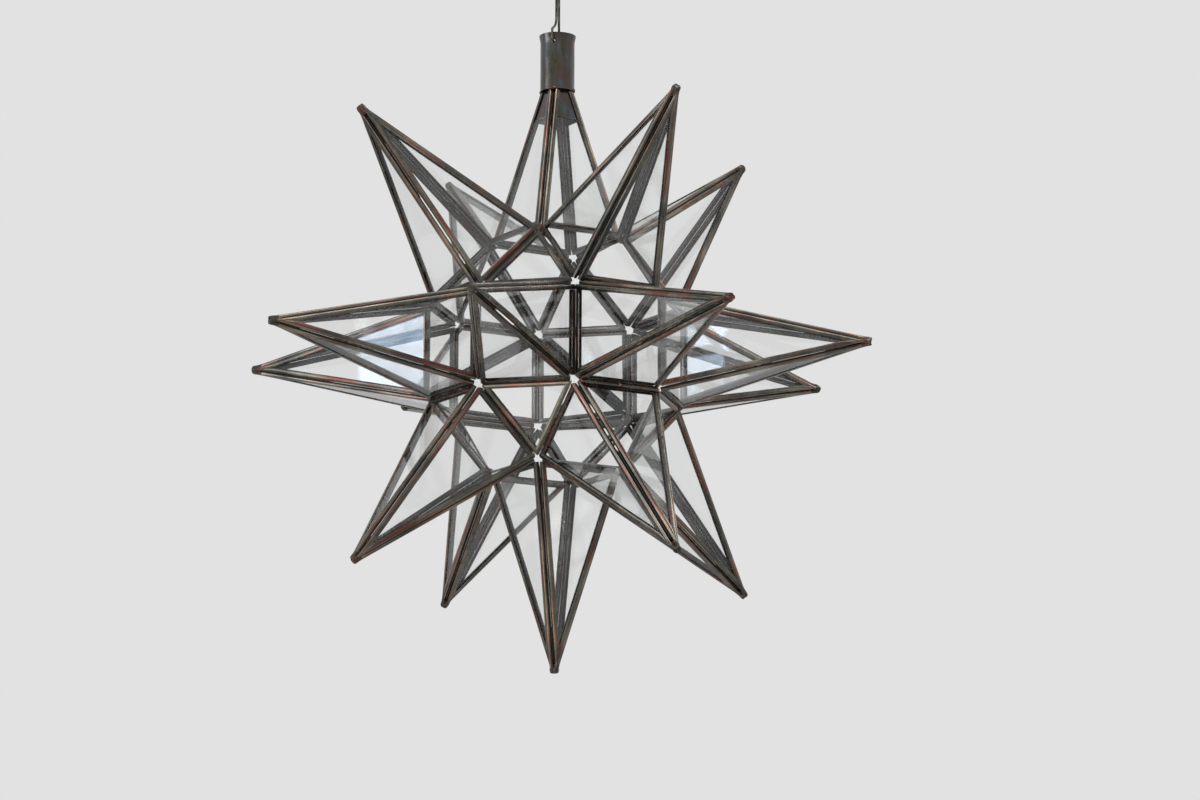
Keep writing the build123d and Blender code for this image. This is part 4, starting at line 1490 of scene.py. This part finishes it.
@dataclass(frozen=True)
class HangingWire:
    """One stiff wire through the neck's holes, bent by hand over the rim and into an eye."""

    wire: float = 2.0 * MM
    strand: float = 1.04 * MM
    stand_off: float = 16.4 * MM
    hole: float = 252.3 * MM
    rim: float = 259.6 * MM
    over_rim: float = 2.0 * MM
    eye_neck: float = 296.5 * MM
    eye_top: float = 311.0 * MM
    eye_half: float = 5.2 * MM
    eye_flare: float = 4.2 * MM
    end: float = 293.5 * MM

    def route(self) -> list[Vector]:
        """The points of the wire's spline, from one end to the other, above the star's centre.

        Each strand's points are a share of its distance from the axis, how far out they lie
        to the front or back, and their height.
        """
        out, rim, over = self.stand_off, self.rim, self.rim + self.over_rim
        foot = [
            (0.2, out + 0.3 * MM, over - 0.2 * MM), (0.08, out + 0.25 * MM, rim - 3.0 * MM),
            (0.0, out, self.hole), (0.0, out * 0.72, self.hole)]
        back = [
            (1.0, 0.0, self.end), (1.02, 0.0, rim + 18 * MM), (1.0, 0.1 * MM, rim + 7 * MM),
            (1.0, 0.5 * MM, rim + 3.7 * MM), (0.75, 5.0 * MM, over + 0.2 * MM),
            (0.4, out * 0.82, over), *foot]
        front = [
            (1.02, 0.0, rim + 22 * MM), (1.0, 0.2 * MM, rim + 14 * MM),
            (0.95, 2.2 * MM, rim + 10 * MM), (0.7, out * 0.50, rim + 6.0 * MM),
            (0.4, out * 0.86, over + 1.2 * MM), *foot]
        first = [Vector((share * self.strand, y, z)) for share, y, z in back]
        second = [Vector((-share * self.strand, -y, z)) for share, y, z in reversed(front)]
        half, neck, top, near = self.eye_half, self.eye_neck, self.eye_top, self.strand
        eye = [
            (-near, neck - 6 * MM), (-near, neck), (-half, neck + self.eye_flare), (-half, top),
            (half, top), (half, neck + self.eye_flare), (near, neck), (near, self.end + 0.35 * MM)]
        return first + second + [Vector((x, 0.0, z)) for x, z in eye]

    def build(self, finish: Material) -> None:
        """Bends the wire."""
        piece = Piece("bent_hanging_wire")
        piece.take(swept_wire(self.route(), self.wire / 2.0, 14))
        piece.finish(finish, HANGER, "hanging_steel", ["hanging_wire"], 60.0)


def swept_wire(route: Sequence[Vector], radius: float, resolution: int) -> bpy.types.Mesh:
    """A round wire along a smooth spline.

    Args:
        route: The spline's points, above the star's centre.
        radius: The wire's radius.
        resolution: Steps between points of the spline.

    Returns:
        The wire's mesh.
    """
    curve = bpy.data.curves.new("wire_path", "CURVE")
    curve.dimensions = "3D"
    curve.bevel_depth, curve.bevel_resolution, curve.use_fill_caps = radius, 4, True
    curve.resolution_u = resolution
    path = curve.splines.new("NURBS")
    path.points.add(len(route) - 1)
    for point, place in zip(path.points, route):
        point.co = (*(place + GEOMETRY.centre()), 1.0)
    path.order_u = 3
    path.use_endpoint_u = True
    shaped = bpy.data.objects.new("wire_path", curve)
    bpy.context.scene.collection.objects.link(shaped)
    data = applied_mesh(shaped)
    bpy.data.objects.remove(shaped)
    return data


@dataclass(frozen=True)
class WireBinding:
    """Thin wire wound tightly round both strands, with its ends tucked in."""

    bottom: float = 291.6 * MM
    wire: float = 1.2 * MM
    strand: float = 1.05 * MM
    strand_radius: float = 1.0 * MM
    clearance: float = 0.05 * MM
    pitch: float = 1.35 * MM
    turns: float = 2.6
    steps: int = 16

    def build(self, finish: Material) -> None:
        """Winds the binding."""
        reach = self.strand_radius + self.wire / 2.0 + self.clearance
        route = []
        for index in range(round(self.turns * self.steps) + 1):
            turn = math.tau * index / self.steps
            level = self.bottom + self.wire / 2.0 + self.pitch * index / self.steps
            shift = self.strand * max(-1.0, min(1.0, math.cos(turn) * 2.2))
            route.append(Vector((math.cos(turn) * reach + shift, math.sin(turn) * reach, level)))
        piece = Piece("wound_binding")
        piece.take(swept_wire(route, self.wire / 2.0, 3))
        piece.finish(finish, HANGER, "copper_wire", ["wire_binding"], 60.0)


# ---- Pieces whose solids stay as they are ------------------------------------------


class Glazing:
    """The panes of the points, of the door and of the triangles between the points."""

    def dress(self, glass: Material) -> None:
        """Gives every pane its glass."""
        points = (*FIXED_POINTS, DOOR_POINT, TOP_POINT)
        dress([f"{place.name}_point_glass" for place in points] + ["flat_pane_glass"], glass)


class DoorHinge:
    """The tubes along the door's upper edge and the wire pin through them."""

    def dress(self, came: Material, copper: Material) -> None:
        """Gives the tubes the cames' finish and the pin its copper."""
        dress(["frame_hinge_tubes", "door_hinge_tubes"], came)
        dress(["hinge_pin"], copper)


class CeilingFitting:
    """The hook that the wire's eye hangs from, and its plate."""

    def dress(self, steel: Material, enamel: Material) -> None:
        """Gives the hook its steel and the plate its enamel."""
        dress(["ceiling_hook"], steel)
        dress(["ceiling_plate"], enamel)


# ---- Studio ----------------------------------------------------------------------


@dataclass(frozen=True)
class SoftBox:
    """One square area light, placed round the star.

    Args:
        name: Its name.
        azimuth: From the front to the right, in degrees.
        elevation: Above the star's centre, in degrees.
        distance: From the star's centre.
        power: In watts.
        size: Its side.
        colour: Its colour.
    """

    name: str
    azimuth: float
    elevation: float
    distance: float
    power: float
    size: float
    colour: Triple


@dataclass(frozen=True)
class Studio:
    """Pale floor and backdrop, soft light and the camera."""

    backdrop: float = 0.76
    ambient: float = 0.62
    white: Triple = (1.0, 1.0, 1.0)
    floor_level: float = -2.4
    floor_size: float = 24.0
    floor_greys: tuple[Triple, Triple] = ((0.79, 0.79, 0.79), (0.81, 0.81, 0.81))
    floor_roughness: float = 0.8
    camera_place: Triple = (0.70165, -2.75157, -0.92616)
    camera_turn: Triple = (101.0707, -0.1560, 13.5771)
    lens: float = 111.1225
    sensor: float = 36.0
    pane_passes: int = 48
    boxes: tuple[SoftBox, ...] = (
        SoftBox("key_box", 25.0, 50.0, 3.0, 34.0, 1.5, (1.0, 0.98, 0.95)),
        SoftBox("window_box", -40.1, 11.0, 3.0, 4.6, 0.5, (0.50, 0.70, 1.0)),
        SoftBox("left_box", -58.0, 8.0, 3.0, 20.0, 1.1, (0.97, 0.98, 1.0)),
        SoftBox("low_box", -28.0, -38.0, 2.6, 14.0, 1.1, (1.0, 0.90, 0.76)),
        SoftBox("rim_box", 135.0, 38.0, 2.8, 14.0, 1.0, (1.0, 1.0, 1.0)))

    def build(self) -> None:
        """Sets up everything round the object."""
        self.world()
        self.floor()
        for box in self.boxes:
            self.light(box)
        self.camera()
        scene = bpy.context.scene
        scene.view_settings.view_transform = "Standard"
        scene.cycles.transparent_max_bounces = self.pane_passes

    def world(self) -> None:
        """Makes a world that is pale to look at and lights the object evenly."""
        world = bpy.data.worlds.new("studio")
        bpy.context.scene.world = world
        graph = ShaderGraph(world)
        rays = graph.node("ShaderNodeLightPath")
        seen = graph.output(rays, "Is Camera Ray")
        for kind in ("Is Glossy Ray", "Is Transmission Ray"):
            seen = graph.maths("MAXIMUM", seen, graph.output(rays, kind))
        lit, shown = (
            graph.shader("ShaderNodeBackground", {"Color": self.white, "Strength": strength})
            for strength in (self.ambient, self.backdrop))
        graph.close(graph.mixed(seen, lit, shown))

    def floor(self) -> None:
        """Lays the pale floor, which can be looked through from below."""
        mesh = bmesh.new()
        level = Matrix.Translation((0.0, 0.0, self.floor_level))
        bmesh.ops.create_grid(
            mesh, x_segments=4, y_segments=4, size=self.floor_size, matrix=level)
        floor = placed_object("studio_floor", mesh)
        graph = ShaderGraph.of_material("pale_floor")
        speckle = graph.noise(graph.object_point(), 14.0, 3.0)
        matt = graph.shader("ShaderNodeBsdfPrincipled", {
            "Base Color": graph.blend(speckle, *self.floor_greys),
            "Roughness": self.floor_roughness})
        below = graph.output(graph.node("ShaderNodeNewGeometry"), "Backfacing")
        clear = graph.shader("ShaderNodeBsdfTransparent")
        floor.data.materials.append(graph.close(graph.mixed(below, matt, clear)))

    def light(self, box: SoftBox) -> None:
        """Hangs one soft box, turned to the star."""
        lamp = bpy.data.lights.new(box.name, "AREA")
        lamp.energy, lamp.shape, lamp.size, lamp.color = box.power, "SQUARE", box.size, box.colour
        hung = bpy.data.objects.new(box.name, lamp)
        outward = GEOMETRY.direction(box.azimuth, box.elevation)
        hung.location = GEOMETRY.centre() + outward * box.distance
        hung.rotation_euler = outward.to_track_quat("Z", "Y").to_euler()
        bpy.context.scene.collection.objects.link(hung)

    def camera(self) -> None:
        """Places the camera where the photograph was taken from."""
        lens = bpy.data.cameras.new("view")
        lens.lens, lens.sensor_width, lens.clip_start = self.lens, self.sensor, 0.05
        camera = bpy.data.objects.new("view", lens)
        camera.location = self.camera_place
        camera.rotation_euler = [math.radians(turn) for turn in self.camera_turn]
        bpy.context.scene.collection.objects.link(camera)
        bpy.context.scene.camera = camera


# ---- The whole pendant -----------------------------------------------------------


def main() -> None:
    """Builds and dresses every piece, in order, and reports each."""
    logging.basicConfig(level=logging.INFO, format="%(message)s")
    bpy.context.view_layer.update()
    came, seam, solder = PatinatedCame().build(), FluxedSeam().build(), RunSolder().build()
    glass, sheet = ClearGlass().build(), AgedSheet().build()
    resin, enamel = MouldedResin().build(), Enamel().build()
    copper, hanging = COPPER_WIRE.build(), HANGING_STEEL.build()
    steel, brass = FITTING_STEEL.build(), CONTACT_BRASS.build()

    Studio().build()
    Cames().build(came)
    TipSolder().build(solder)
    SeamRuns().build(seam)
    VertexSolder().build(solder)
    NeckTube().build(sheet, solder)
    Lampholder().build(resin, steel, brass)
    HangingWire().build(hanging)
    WireBinding().build(copper)
    Glazing().dress(glass)
    DoorHinge().dress(came, copper)
    CeilingFitting().dress(hanging, enamel)


if __name__ == "__main__":
    main()
